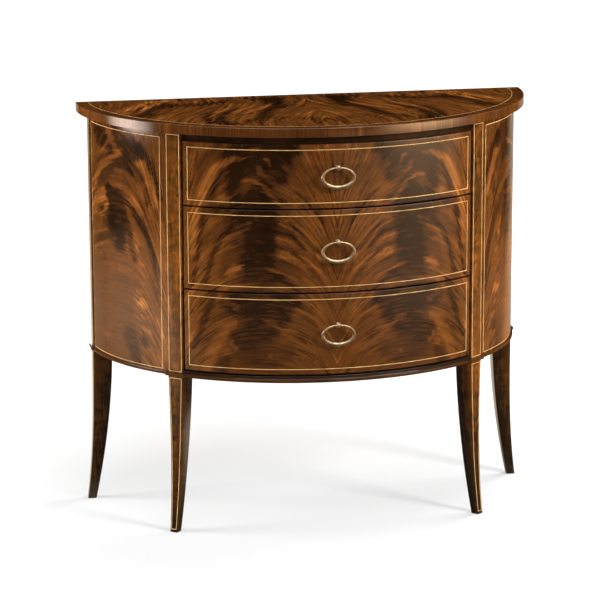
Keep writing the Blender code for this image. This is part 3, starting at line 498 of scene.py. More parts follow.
def veneer(name, streak=0.85, fibre=0.65, fine=0.36, mottle=0.35, colours=MAHOGANY, coat=1.0):
    """Polished veneer that reads where its grain is, how light and how plain it is from the mesh."""
    material, tree, shader = new_material(
        name, Specular_IOR_Level=0.0, Coat_Weight=coat, Coat_Roughness=0.08, Coat_IOR=1.5)
    place = node(tree, "Attribute", attribute_name="figure").outputs["Vector"]
    tone, still = (node(tree, "Attribute", attribute_name=key).outputs["Fac"] for key in ("tone", "still"))
    threads = scaled(tree, place, (9.0, 9.0, 95.0), 2.0, 0.6)
    pores = scaled(tree, place, (30.0, 30.0, 230.0), 1.0)
    value = mixed(
        tree, 0.0,
        (streak, scaled(tree, place, (1.1, 1.1, 6.0), 2.0, 0.55)),
        (fibre, scaled(tree, place, (1.6, 1.6, 19.0), 2.0, 0.55)),
        (fine, threads),
        (mottle, scaled(tree, place, (6.0, 6.0, 3.0), 2.0, 0.5, 0.6)),
    )
    calm = span(tree, scaled(tree, place, (1.1, 1.1, 2.2), 1.0), 0.38, 0.62, 0.3, 1.2)
    for share in (calm, maths(tree, "SUBTRACT", 1.0, still)):
        value = maths(tree, "MULTIPLY", value, share)
    value = maths(tree, "MULTIPLY_ADD", value, span(tree, tone, 0.12, 0.45, 0.40), tone)
    wisps = span(tree, scaled(tree, place, (2.4, 2.4, 13.0), 3.0, 0.6, 0.25), 0.50, 0.66, 0.0, 0.15)
    value = maths(tree, "MULTIPLY_ADD", wisps, span(tree, tone, 0.22, 0.42, 1.0, 0.0), value)
    value = maths(tree, "SUBTRACT", value, span(tree, pores, 0.60, 0.72, 0.02, 0.16))
    colour = ramp(tree, value, np.linspace(0, 1, len(colours)), colours)
    dress_surface(tree, shader, colour, threads, (0.30, 0.46), pores, 0.25, 0.0002)
    waves = scaled(tree, place, (7.0,) * 3, 1.0)
    polish = node(tree, "Bump", {"Strength": 0.05, "Distance": 0.0006, "Height": waves})
    tree.links.new(polish.outputs[0], shader.inputs["Coat Normal"])
    return material


def plain_wood(name, colours, scales, roughness=(0.45, 0.62), coat=0.0, specular=0.3):
    """Straight-grained wood whose grain runs along the axis with the smallest scale."""
    material, tree, shader = new_material(name, Specular_IOR_Level=specular, Coat_Weight=coat, Coat_Roughness=0.12)
    place = node(tree, "TexCoord").outputs["Object"]
    wide = scaled(tree, place, [0.35 * s for s in scales], 2.0, 0.5, 0.4)
    lines = scaled(tree, place, scales, 4.0, 0.6)
    pores = scaled(tree, place, [4.0 * s for s in scales], 1.0)
    colour = ramp(tree, mixed(tree, 0.5, (0.9, wide), (0.8, lines), (0.25, pores)), (0.15, 0.5, 0.85), colours)
    dress_surface(tree, shader, colour, lines, roughness, pores, 0.3, 0.0003)
    return material


def boxwood():
    material, tree, shader = new_material("boxwood_line", Specular_IOR_Level=0.0, Coat_Weight=1.0, Coat_Roughness=0.05)
    flecks = scaled(tree, node(tree, "TexCoord").outputs["Object"], (60.0,) * 3, 3.0)
    tree.links.new(ramp(tree, flecks, (0.3, 0.55, 0.75), BOXWOOD), shader.inputs["Base Color"])
    tree.links.new(span(tree, flecks, 0.0, 1.0, 0.30, 0.45), shader.inputs["Roughness"])
    return material


def antique_brass():
    material, tree, shader = new_material("antique_brass_finish", Metallic=0.86)
    place = node(tree, "TexCoord").outputs["Object"]
    wear = scaled(tree, place, (900.0,) * 3, 2.0)
    patina = mixed(tree, scaled(tree, place, (160.0,) * 3, 4.0, 0.6), (0.4, wear))
    colour = ramp(tree, patina, (0.30, 0.50, 0.72), BRASS)
    dress_surface(tree, shader, colour, patina, (0.50, 0.34), wear, 0.12, 0.0002)
    return material


flame = veneer("flame_veneer")
cross = veneer("crossband_veneer", streak=0.36, fibre=0.28, fine=0.35, mottle=0.3)
straight = veneer("post_veneer", streak=0.45, fibre=0.35, fine=0.3, mottle=0.8, colours=UMBER)
moulded = veneer("moulding_polish", streak=0.3, fibre=0.3, fine=0.3, mottle=0.2, colours=UMBER, coat=0.5)
line = boxwood()
brass = antique_brass()
ALONG = {"x": (5.0, 110.0, 110.0), "y": (110.0, 5.0, 110.0), "z": (110.0, 110.0, 5.0)}
pine = {axis: plain_wood("pine_along_" + axis, PINE, scales) for axis, scales in ALONG.items()}
oak = {axis: plain_wood("oak_along_" + axis, OAK, ALONG[axis]) for axis in ("x", "y")}
painted_shade_wood = plain_wood("painted_shade_mahogany", PAINTED_SHADE_COLOURS, ALONG["x"], (0.35, 0.5), 0.1, 0.05)
core = plain_wood("mahogany_along_x", CORE, ALONG["x"], (0.35, 0.5), 0.2, 0.05)


def dress_node(name):
    """The finish of a CAD node that stays: what wood it is and which way its grain runs."""
    if "nut" in name:
        return brass
    # Painted shade: these parts, seen mostly in the gaps and under the top, are near-black for the shade there.
    if name in ("base_board", "frieze_rail", "lower_front_rail", "upper_front_rail"):
        return painted_shade_wood
    if name.endswith("drawer_front"):
        return core
    if "drawer" in name:
        return oak["y" if "side" in name else "x"]
    if name.endswith(("partition", "back_panel", "end_panel")):
        return pine["z"]
    return pine["y" if name.endswith(("runner", "kicker")) else "x"]


for node_name, node_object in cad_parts.items():
    finish = dress_node(node_name)
    if not node_object.material_slots:
        node_object.data.materials.append(finish)
    for material_slot in node_object.material_slots:
        material_slot.material = finish


# Top

BORDER = 0.025
TOP_GRID, FIELD_GRID = (241, 48), (275, 114)
FIELD_PROUD, FIELD_THICKNESS = 0.00005, 0.001
FIELD_LEAN, FIELD_WAVE, FIELD_WAVE_SPAN = 0.30, 22, 62
TOP_LINE_SHARE = 0.7
LINE_HALF = 0.00062
LINE_PROUD = 0.00012
LINE_SINK = 0.0006
LINE_SECTION = ((-LINE_HALF, -LINE_SINK), (-LINE_HALF, LINE_PROUD), (LINE_HALF, LINE_PROUD), (LINE_HALF, -LINE_SINK))
GRAIN_UNIT = 54.0


def oval_points(half, depth, angles, z):
    return np.stack([half * np.cos(angles), -depth * np.sin(angles), np.full(len(angles), z)], -1)


def oval_normals(half, depth, angles):
    return unit(np.stack([np.cos(angles) / half, -np.sin(angles) / depth, np.zeros(len(angles))], -1))


def half_oval_grid(half, depth, back, z, columns, rows):
    angles = np.linspace(0, math.pi, columns)
    shares = np.linspace(0, 1, rows)[:, None]
    x = np.repeat(half * np.cos(angles)[None], rows, 0)
    y = -back - shares * (depth - back) * np.sin(angles)[None]
    return np.stack([x, y, np.full_like(x, z)], -1)


def arc_length(half, depth, angles):
    """Millimetres along an oval from its right end to each angle."""
    fine = np.linspace(0, math.pi, 4000)
    x, y = half * np.cos(fine), depth * np.sin(fine)
    lengths = np.concatenate([[0], np.cumsum(np.hypot(np.diff(x), np.diff(y)))]) * 1000
    return np.interp(angles, fine, lengths)


def make_top():
    inset = TOP_HALF - TOP_ARRIS, TOP_DEPTH - TOP_ARRIS
    grid = half_oval_grid(*inset, TOP_ARRIS, TOP_HIGH, *TOP_GRID)
    points, faces, source = slab(grid, UP, TOP_HIGH - TOP_LOW, TOP_ARRIS, pointed=True)
    flat = grid.reshape(-1, 3)
    angles = np.arctan2(-flat[:, 1] / TOP_DEPTH, flat[:, 0] / TOP_HALF)
    lengths = arc_length(TOP_HALF, TOP_DEPTH, angles)
    inward = np.hypot(flat[:, 0] / TOP_HALF, flat[:, 1] / TOP_DEPTH)
    tone = 0.47 + 0.05 * wander(lengths / 60, 2.0)
    figure = np.stack([inward * 4.2, np.full(len(flat), 7.3), lengths / (1.2 * GRAIN_UNIT)], -1)
    x = points[:, 0]
    # The top's edge is a little darker all round. It is darker still in the middle, as painted shade, and lighter at
    # its left end, as painted highlight where the left lamp's reflection falls.
    rim = 0.02 + 0.06 * smoothstep(0.34, 0.22, np.abs(x)) - 0.07 * smoothstep(-0.36, -0.44, x)
    fields = {"figure": figure[source], "tone": tone[source] - (points[:, 2] < TOP_HIGH - 0.001) * rim}
    add_piece("top_crossband", points, faces, cross, "carcass", ["top_board"], fields)

    half, depth = TOP_HALF - BORDER, TOP_DEPTH - BORDER
    grid = half_oval_grid(half, depth, TOP_ARRIS, TOP_HIGH + FIELD_PROUD, *FIELD_GRID)
    points, faces, source = slab(grid, UP, FIELD_THICKNESS, pointed=True)
    x, back = np.abs(grid[..., 0]) * 1000, -grid[..., 1] * 1000
    wave = back / FIELD_WAVE_SPAN
    t = (x - FIELD_LEAN * back + FIELD_WAVE * np.sin(wave)) / GRAIN_UNIT
    run_x = FIELD_LEAN - FIELD_WAVE / FIELD_WAVE_SPAN * np.cos(wave)
    fields = flow_fields(x, back, t, run_x, np.ones_like(x), 0.54, TOP_STROKES, 18.0, 1.0, -0.2)
    add_piece("top_field", points, faces, flame, "carcass", (), spread(fields, source))

    angles = np.linspace(0.0, math.pi, 181)
    spots = oval_points(half, depth, angles, TOP_HIGH)
    spots[0, 1] = spots[-1, 1] = -0.0002
    outs = oval_normals(half, depth, angles)
    points, faces = sweep(spots, outs, UP, [(TOP_LINE_SHARE * out, up) for out, up in LINE_SECTION])
    add_piece("top_line", points, faces, line, "carcass")


# Bowed and curved faces

VENEER_PROUD = 0.00025
FRONT_ARRIS = 0.0008
FACE_STEP, LINE_STEP = 0.0024, 0.006
DRAWER_VENEER, PANEL_VENEER = 0.003, 0.0025


def curved_grid(half, depth, start, end, low, high):
    """A grid of points of a curved face between two angles and two heights, their normals and its columns' angles."""
    rows = int((high - low) / FACE_STEP) + 2
    angles = np.linspace(start, end, int(abs(end - start) * MEAN_RADIUS / FACE_STEP) + 2)
    grid = np.repeat(oval_points(half, depth, angles, 0)[None], rows, 0)
    grid[..., 2] = np.linspace(low, high, rows)[:, None]
    return grid, np.repeat(oval_normals(half, depth, angles)[None], rows, 0), angles


def face_line(half, depth, start, end, low, high):
    """A closed line round a rectangle of a curved face, between two angles and two heights."""
    count = max(2, int(abs(end - start) * MEAN_RADIUS / LINE_STEP))
    angles = np.linspace(start, end, count)
    normals = oval_normals(half, depth, angles)
    asides = np.zeros((count, 3))
    for k, sign in ((0, -1), (-1, 1)):
        aside = unit(np.array([-half * math.sin(angles[k]), -depth * math.cos(angles[k]), 0.0]))
        asides[k] = aside * (sign if end > start else -sign)
    rise = np.linspace(low, high, 5)[1:-1]
    walk = [*range(count)] + [count - 1] * len(rise) + [*range(count)][::-1] + [0] * len(rise)
    z = np.concatenate([np.full(count, low), rise, np.full(count, high), rise[::-1]])
    outs = asides[walk] + UP * ((z == high) * 1.0 - (z == low))[:, None]
    return sweep(oval_points(half, depth, angles[walk], z), outs, normals[walk], LINE_SECTION, closed=True)


LINE_BOUNDS = {"bottom": (0.362, 0.5085), "middle": (0.5347, 0.6825), "top": (0.7089, 0.8177)}
LINE_END_X = 0.2929


def make_drawer_faces():
    half, depth = FACE_HALF + VENEER_PROUD, FACE_DEPTH + VENEER_PROUD
    end = crossing_angle(half, depth, -POST_WIDTH / 2 - FRONT_END_GAP + VENEER_PROUD) + FRONT_ARRIS / MEAN_RADIUS
    line_end = math.acos(LINE_END_X / half)
    for level, (low, high) in DRAWER_LEVELS.items():
        edge = FRONT_ARRIS - VENEER_PROUD
        grid, normals, _ = curved_grid(half, depth, math.pi - end, end, low + edge, high - edge)
        points, faces, source = slab(grid, normals, DRAWER_VENEER, FRONT_ARRIS)
        x, z = np.abs(grid[..., 0]) * 1000, grid[..., 2] * 1000
        t = flame_across(x) - climb(z)
        still = 0.15 + 0.4 * smoothstep(530, 490, z) * smoothstep(60, 110, x) * smoothstep(250, 210, x)
        run = flame_across_rate(x), climb_rate(z)
        fields = flow_fields(x, z, t, *run, 0.45, DRAWER_STROKES, 5.0, 0.0, still)
        side, tone = grid[..., 0] * 1000, fields["tone"]
        # The figure is mirrored about the middle. The next two lines break that mirror to stand in for light: painted
        # light on the right half, where the sheen falls, and painted shade left of the middle. The two after make the
        # left end lighter low down, and the right end darker between 640 and 700 mm up.
        tone += 0.03 * smoothstep(150, 240, side) * smoothstep(590, 640, z) * smoothstep(0.3, 0.5, tone)
        tone -= 0.06 * smoothstep(-165, -135, side) * smoothstep(-60, -90, side) * smoothstep(500, 560, z)
        tone += 0.04 * smoothstep(-222, -250, side) * smoothstep(700, 650, z)
        tone -= 0.03 * smoothstep(225, 250, side) * smoothstep(640, 660, z) * smoothstep(700, 680, z)
        # Painted shadow: the bottom drawer's lowest 2.5 mm are black, for the shadowed gap above the base moulding.
        tone[z < 1000 * DRAWER_LEVELS["bottom"][0] + 2.5] = 0.0
        body = level + "_drawer"
        add_piece(body + "_veneer", points, faces, flame, body, (), spread(fields, source))
        points, faces = face_line(half, depth, math.pi - line_end, line_end, *LINE_BOUNDS[level])
        add_piece(body + "_line", points, faces, line, body)


PANEL_PROUD = 0.00015
PANEL_LINE = (47.0, 294.7, 0.3445, 0.8315)
PANEL_ORIGIN_ANGLE = 0.02

# What only one of the end panels shows
SIDE_STROKES = {
    "right": (
        (0.6, 0.6, 0.75, 118, 690, 14, 155, 665, 28, 170, 615, 26),
        (0.86, 0.6, 0.8, 112, 650, 16, 146, 545, 30, 160, 440, 38, 160, 345, 44),
        (0.6, 0.5, 0.6, 210, 560, 14, 216, 450, 16, 212, 350, 20),
        (0.5, 0.6, 0.5, 250, 640, 26, 262, 520, 30, 270, 400, 30),
        (0.36, 0.6, 0.75, 214, 800, 18, 220, 730, 26, 236, 655, 24),
    ),
    "left": (
        (0.76, 0.5, 0.7, 296, 650, 8, 300, 540, 16, 302, 440, 18, 306, 345, 18),
        (0.62, 0.5, 0.6, 240, 560, 12, 262, 520, 14, 276, 440, 16),
    ),
}


def make_panel_faces():
    half, depth = PANEL_HALF + PANEL_PROUD, PANEL_DEPTH + PANEL_PROUD
    start = crossing_angle(half, depth, POST_WIDTH / 2 + SEAT_GAP) - 0.0002
    end = math.asin(-(rear_post_front_y - SEAT_GAP) / depth) + 0.0003
    origin = arc_length(PANEL_HALF, PANEL_DEPTH, PANEL_ORIGIN_ANGLE)
    fine = np.linspace(0, math.pi / 2, 2000)
    lengths = arc_length(PANEL_HALF, PANEL_DEPTH, fine) - origin
    for side, sign in (("right", 1), ("left", -1)):
        grid, normals, angles = curved_grid(half, depth, start, end, LEG_HEIGHT + SEAT_GAP, CARCASS_TOP - SEAT_GAP)
        points, faces, source = slab(grid, normals, PANEL_VENEER)
        points[:, 0] *= sign
        u = np.broadcast_to(np.interp(angles, fine, lengths), grid.shape[:2])
        z = grid[..., 2] * 1000
        t = panel_across(u) - climb(z)
        lower = smoothstep(600, 530, z) * smoothstep(235, 190, u)
        # On the left panel only, the tone is lighter below about 630 mm: painted reflection of the warm floor in its
        # polish.
        base = 0.48 - 0.03 * lower + (0.045 * smoothstep(660, 600, z) if side == "left" else 0)
        still = 0.7 * lower if side == "left" else 0.25 + 0.35 * lower
        run = panel_across_rate(u), climb_rate(z)
        fields = flow_fields(u, z, t, *run, base, PANEL_STROKES + SIDE_STROKES[side], 6.0, 3.0 + sign, still)
        add_piece(side + "_panel_veneer", points, faces, flame, "carcass", (), spread(fields, source))
        line_start, line_end = np.interp(PANEL_LINE[:2], lengths, fine)
        points, faces = face_line(half, depth, line_end, line_start, *PANEL_LINE[2:])
        points[:, 0] *= sign
        add_piece(side + "_panel_line", points, faces, line, "carcass")


# Posts and sabre legs

POST_ARRIS = 0.0010
LEG_STEPS, POST_STEPS, LEG_LINE_STEPS = 49, 41, 40
POST_LINE_INSET = 0.0028
POST_LINE_LOW, POST_LINE_HIGH = 0.3445, 0.8406
LEG_LINE_LOW, LEG_LINE_HIGH = 0.0065, 0.3290


def leg_shape(z):
    """Half width, front and rear of a post at a height, with the face at 0 and depth counted backwards."""
    drop = np.maximum(0, 1 - z / LEG_HEIGHT)
    half = (POST_WIDTH - (POST_WIDTH - FOOT_WIDTH) * drop**TAPER_POWER) / 2
    front = -FOOT_SPLAY * drop**SPLAY_POWER
    rear = POST_DEPTH - (POST_DEPTH + FOOT_SPLAY - FOOT_DEPTH) * drop**HOLLOW_POWER
    return half, front, rear


def turned(points, place, turn):
    cos, sin = math.cos(turn), math.sin(turn)
    x, y = points[:, 0], points[:, 1]
    return np.stack([place[0] + cos * x - sin * y, place[1] + sin * x + cos * y, points[:, 2]], -1)


def make_posts():
    corner = [(POST_ARRIS * (1 - math.cos(a)), POST_ARRIS * (1 - math.sin(a))) for a in np.linspace(0, math.pi / 2, 5)]
    rear_y = rear_post_front_y + POST_WIDTH / 2
    turn = math.atan2(post_outward[0], -post_outward[1])
    places = (
        ("right_front", post_face, turn, 1.0),
        ("left_front", post_face * (-1, 1), -turn, 4.0),
        ("right_rear", (PANEL_HALF, rear_y), math.pi / 2, 9.0),
        ("left_rear", (-PANEL_HALF, rear_y), -math.pi / 2, 13.0),
    )
    heights = np.linspace(0, LEG_HEIGHT, LEG_STEPS)
    heights = np.concatenate([heights, np.linspace(LEG_HEIGHT, CARCASS_TOP, POST_STEPS)[1:]])
    outline = [(sx, sy, *inset) for sx, sy in ((-1, 0), (1, 0), (1, 1), (-1, 1)) for inset in corner]
    rings = np.array([
        [(sx * (half - inset_x), rear - inset_y if sy else front + inset_y, z) for sx, sy, inset_x, inset_y in outline]
        for half, front, rear, z in zip(*leg_shape(heights), heights)
    ])
    offsets = rings[0] - rings[0].mean(0)
    rings = rings[:, np.argsort(np.arctan2(offsets[:, 1], offsets[:, 0]))]
    size = len(outline)
    faces = [[i * size + k, i * size + (k + 1) % size, (i + 1) * size + (k + 1) % size, (i + 1) * size + k]
             for i in range(len(heights) - 1) for k in range(size)]
    faces += [list(range(size)), list(range((len(heights) - 1) * size, len(heights) * size))]
    flat = rings.reshape(-1, 3)
    z = flat[:, 2] * 1000
    beside = flat[:, 1] > leg_shape(flat[:, 2])[1] + 1.5 * POST_ARRIS
    for name, place, angle, seed in places:
        across = (flat[:, 0] * 1000 + 0.8 * flat[:, 1] * 1000 + 1.5 * np.sin(z / 70 + seed)) / GRAIN_UNIT
        tone = 0.50 + 0.03 * smoothstep(700, 560, z) - 0.13 * smoothstep(345, 325, z) - 0.16 * smoothstep(300, 20, z)
        tone = tone + 0.05 * wander(z / 80, seed)
        # Painted shade: the posts' sides, hidden in the gaps beside the drawers and panels, are near-black, and the
        # legs' sides are darker.
        tone = np.where(beside, np.where(z > 1000 * LEG_HEIGHT, 0.05, tone - 0.22), tone)
        if name == "right_front":
            golden = 0.01 - 0.05 * smoothstep(600, 760, z) + 0.13 * smoothstep(345, 325, z)
            # Painted shade: the right front leg's sides are darker still.
            tone = tone + np.where(beside, -0.10, golden - 0.14 * smoothstep(270, 170, z))
        fields = {"figure": np.stack([z / 100, np.full(len(z), seed), across], -1), "tone": tone}
        points = turned(flat, place, angle)
        add_piece(name + "_leg", points, faces, straight, "carcass", [name + "_post"], fields)
        if "front" in name:
            make_post_lines(name, place, angle)


def make_post_lines(name, place, turn):
    side = POST_WIDTH / 2 - POST_LINE_INSET
    corners = [(-side, POST_LINE_LOW), (side, POST_LINE_LOW), (side, POST_LINE_HIGH), (-side, POST_LINE_HIGH)]
    spots = np.array([(x, 0.0, z) for x, z in corners])
    outs = np.array([(np.sign(x), 0.0, 1.0 if z > 0.5 else -1.0) for x, z in corners])
    shells = [sweep(spots, outs, FORWARD, LINE_SECTION, closed=True)]
    count = LEG_LINE_STEPS
    heights = np.linspace(LEG_LINE_LOW, LEG_LINE_HIGH, count)
    half, front, _ = leg_shape(heights)
    normals = unit(np.stack([np.zeros(count), -np.ones(count), np.gradient(front, heights)], -1))
    left, right = (np.stack([sign * (half - POST_LINE_INSET), front, heights], -1) for sign in (-1, 1))
    outs = np.repeat([[-1.0, 0, 0], [1.0, 0, 0]], count, 0)
    outs[[0, -1], 2] = -1
    outs[[count - 1, count], 2] = 1
    spots, ups = np.concatenate([left, right[::-1]]), np.concatenate([normals, normals[::-1]])
    shells.append(sweep(spots, outs, ups, LINE_SECTION, closed=True))
    points, faces = joined(*shells)
    add_piece(name + "_leg_line", turned(points, place, turn), faces, line, "carcass")


# Base mouldings

FRONT_RUN_STEPS, SIDE_RUN_STEPS = 120, 60
NOSING = [(0.0, 0.0), (0.72, 0.0)] + [
    (0.72 + 0.28 * math.sin(a), 0.26 - 0.26 * math.cos(a)) for a in np.linspace(0.25, math.pi - 0.25, 7)
] + [(0.72, 0.52), (0.50, 0.545)]
FASCIA = [(0.0, 0.53), (0.50, 0.545), (0.34, 0.60), (0.30, 0.72), (0.27, 0.98), (0.22, 1.0), (0.0, 1.0)]


def moulding_run(path, section):
    path = np.array(path, float)
    steps = unit(np.diff(path, axis=0))
    normals = np.stack([steps[:, 1], -steps[:, 0]], -1)
    before = np.concatenate([normals[:1], normals])
    after = np.concatenate([normals, normals[-1:]])
    mitres = (before + after) / (1 + np.sum(before * after, -1, keepdims=True))
    count = len(path)
    spots = np.concatenate([path, np.full((count, 1), LEG_HEIGHT)], 1)
    outs = np.concatenate([mitres, np.zeros((count, 1))], 1)
    section = [(out * PROJECTION, up * BASE_THICKNESS) for out, up in section]
    return sweep(spots, outs, UP, section)


def add_moulding(name, shells, node_name, tone, seed):
    points, faces = joined(*shells)
    angles = np.arctan2(-points[:, 1], points[:, 0])
    along = arc_length(FACE_HALF, FACE_DEPTH, angles)
    across = (points[:, 2] * 1000) * 2 / GRAIN_UNIT
    # Painted shade: the moulding's upper band, just under the drawers, is darkened by half.
    fascia_painted_shade = smoothstep(0.48, 0.56, (points[:, 2] - LEG_HEIGHT) / BASE_THICKNESS)
    fields = {
        "figure": np.stack([along / 100, np.full(len(along), seed), across], -1),
        "tone": (tone + 0.04 * wander(along / 50, seed)) * (1 - 0.5 * fascia_painted_shade),
    }
    add_piece(name, points, faces, moulded, "carcass", [node_name], fields)


def plan_arc(half, depth, start, end, steps):
    return oval_points(half, depth, np.linspace(start, end, steps + 1), 0)[:, :2]


def mirrored(path):
    return np.array(path)[::-1] * (-1, 1)


def make_mouldings():
    outside = POST_WIDTH / 2 + SEAT_GAP + PROJECTION + 2 * SEAT_GAP
    beside = POST_WIDTH / 2 + 2 * SEAT_GAP
    face = FACE_HALF + SEAT_GAP, FACE_DEPTH + SEAT_GAP
    panel = PANEL_HALF + SEAT_GAP, PANEL_DEPTH + SEAT_GAP
    front = []
    for along, section in ((-outside, NOSING), (-beside, FASCIA)):
        end = crossing_angle(*face, along)
        front.append(moulding_run(plan_arc(*face, math.pi - end, end, FRONT_RUN_STEPS), section))
    add_moulding("front_moulding", front, "front_base_moulding", 0.33, 21.0)
    side_start = crossing_angle(*panel, outside)
    side_end = math.asin(-(rear_post_front_y - PROJECTION - 3 * SEAT_GAP) / panel[1])
    run = plan_arc(*panel, side_start, side_end, SIDE_RUN_STEPS)
    add_moulding("right_moulding", [moulding_run(run, NOSING)], "right_base_moulding", 0.38, 22.0)
    add_moulding("left_moulding", [moulding_run(mirrored(run), NOSING)], "left_base_moulding", 0.38, 23.0)

    half = POST_WIDTH / 2 + SEAT_GAP
    returns = []
    for along, (half_width, depth) in ((-half, (FACE_HALF, FACE_DEPTH)), (half, (PANEL_HALF, PANEL_DEPTH))):
        grown = half_width + 2 * SEAT_GAP, depth + 2 * SEAT_GAP
        angle = crossing_angle(*grown, along)
        returns.append((grown[0] * math.cos(angle), -grown[1] * math.sin(angle)))
    front_path = [returns[0], post_point(-half, -SEAT_GAP), post_point(half, -SEAT_GAP), returns[1]]
    side_y = rear_post_front_y - SEAT_GAP
    face_x = PANEL_HALF + SEAT_GAP
    panel_x = PANEL_HALF * math.sqrt(1 - (side_y / PANEL_DEPTH) ** 2)
    rear_path = [(panel_x + 2 * SEAT_GAP, side_y), (face_x, side_y), (face_x, -BACK_SETBACK)]
    for place, path in (("front", front_path), ("rear", rear_path)):
        for side, points in (("right", path), ("left", mirrored(path))):
            name = f"{side}_{place}"
            add_moulding(name + "_break_out", [moulding_run(points, NOSING)], name + "_post_moulding", 0.42, 24.0)


# Knobs and rings

RING_HALF, RING_DROP = 0.0326, 0.0400
RING_ROD = (0.0017, 0.0042)
RING_SWELL = 0.6


def ring_mesh(z):
    """The oval ring about its pivot; the rod thickens from the top to the foot."""
    steps, around = 96, 20
    a = np.linspace(0, 2 * math.pi, steps, endpoint=False)
    spots = np.stack([RING_HALF * np.sin(a), np.full(steps, PIVOT_Y), z - RING_DROP * (1 - np.cos(a)) / 2], -1)
    along = unit(np.stack([RING_HALF * np.cos(a), np.zeros(steps), -RING_DROP * np.sin(a) / 2], -1))
    outs = np.stack([-along[:, 2], np.zeros(steps), along[:, 0]], -1)
    radius = RING_ROD[0] + (RING_ROD[1] - RING_ROD[0]) * ((1 - np.cos(a)) / 2) ** RING_SWELL
    section = [(math.cos(b), math.sin(b)) for b in np.linspace(0, 2 * math.pi, around, endpoint=False)]
    return sweep(spots, outs * radius[:, None], FORWARD * radius[:, None], section, closed=True)


def turned_mesh(profile, steps=40):
    """A solid turned about the knob's axis; the profile is (distance from the face, radius) from axis to axis."""
    points, faces, count = [], [], len(profile)
    for k in range(steps):
        a = 2 * math.pi * k / steps
        points += [(r * math.cos(a), -out, r * math.sin(a)) for out, r in profile[1:-1]]
    inner = count - 2
    points += [(0, -profile[0][0], 0), (0, -profile[-1][0], 0)]
    first, last = inner * steps, inner * steps + 1
    for k in range(steps):
        n = (k + 1) % steps
        faces += [[k * inner + i, n * inner + i, n * inner + i + 1, k * inner + i + 1] for i in range(inner - 1)]
        faces += [[first, n * inner, k * inner], [last, k * inner + inner - 1, n * inner + inner - 1]]
    return np.array(points), faces


KNOB_RADIUS, KNOB_NECK, KNOB_STANDOFF, KNOB_COLLAR = 0.0053, 0.0026, 0.012, 0.0038
SHANK_LENGTH, SHANK_RADIUS = 0.0262, 0.0025


def knob_profile():
    neck_angle = math.asin(KNOB_NECK / KNOB_RADIUS)
    ball = [
        (KNOB_STANDOFF - KNOB_RADIUS * math.cos(a), KNOB_RADIUS * math.sin(a))
        for a in np.linspace(neck_angle, math.pi, 22)[:-1]
    ]
    collar = [(0.0, KNOB_COLLAR), (0.0008, KNOB_COLLAR), (0.0013, KNOB_COLLAR - 0.0004), (0.0016, KNOB_COLLAR - 0.0012)]
    neck = [(0.0020, 0.0034), (0.0028, KNOB_NECK + 0.0001), (0.0045, KNOB_NECK)]
    shank = [(-SHANK_LENGTH, 0.0), (-SHANK_LENGTH, SHANK_RADIUS), (0.0, SHANK_RADIUS)]
    return shank + collar + neck + ball + [(KNOB_STANDOFF + KNOB_RADIUS, 0.0)]


def make_pulls():
    profile = knob_profile()
    for level, z in PIVOT_Z.items():
        knob, knob_faces = turned_mesh(profile)
        for name, body, points, faces, sharp in (
            ("_knob", "_drawer", knob + (0, -FACE_DEPTH, z), knob_faces, 50),
            ("_ring", "_pull", *ring_mesh(z), 80),
        ):
            stands_for = [level + "_pull" + name]
            add_piece(level + name, points, faces, brass, level + body, stands_for, sharp=sharp)


# Camera, floor and light

CAMERA_PLACE = (-1.14259255, -5.85696969, 1.88564077)
CAMERA_YAW, CAMERA_PITCH, CAMERA_ROLL = (math.radians(a) for a in (10.65141548, 13.43189086, -0.18520377))
FOCAL_LENGTH = 174.814
FLOOR_HALF = 14.0


def make_camera():
    forward = Vector((
        math.sin(CAMERA_YAW) * math.cos(CAMERA_PITCH),
        math.cos(CAMERA_YAW) * math.cos(CAMERA_PITCH),
        -math.sin(CAMERA_PITCH),
    ))
    level = Vector((math.cos(CAMERA_YAW), -math.sin(CAMERA_YAW), 0))
    high = level.cross(forward)
    right = math.cos(CAMERA_ROLL) * level + math.sin(CAMERA_ROLL) * high
    up = -math.sin(CAMERA_ROLL) * level + math.cos(CAMERA_ROLL) * high
    data = bpy.data.cameras.new("camera")
    data.lens = FOCAL_LENGTH
    camera = add_object("camera", data)
    camera.matrix_world = Matrix.Translation(CAMERA_PLACE) @ Matrix((right, up, -forward)).transposed().to_4x4()
    bpy.context.scene.camera = camera


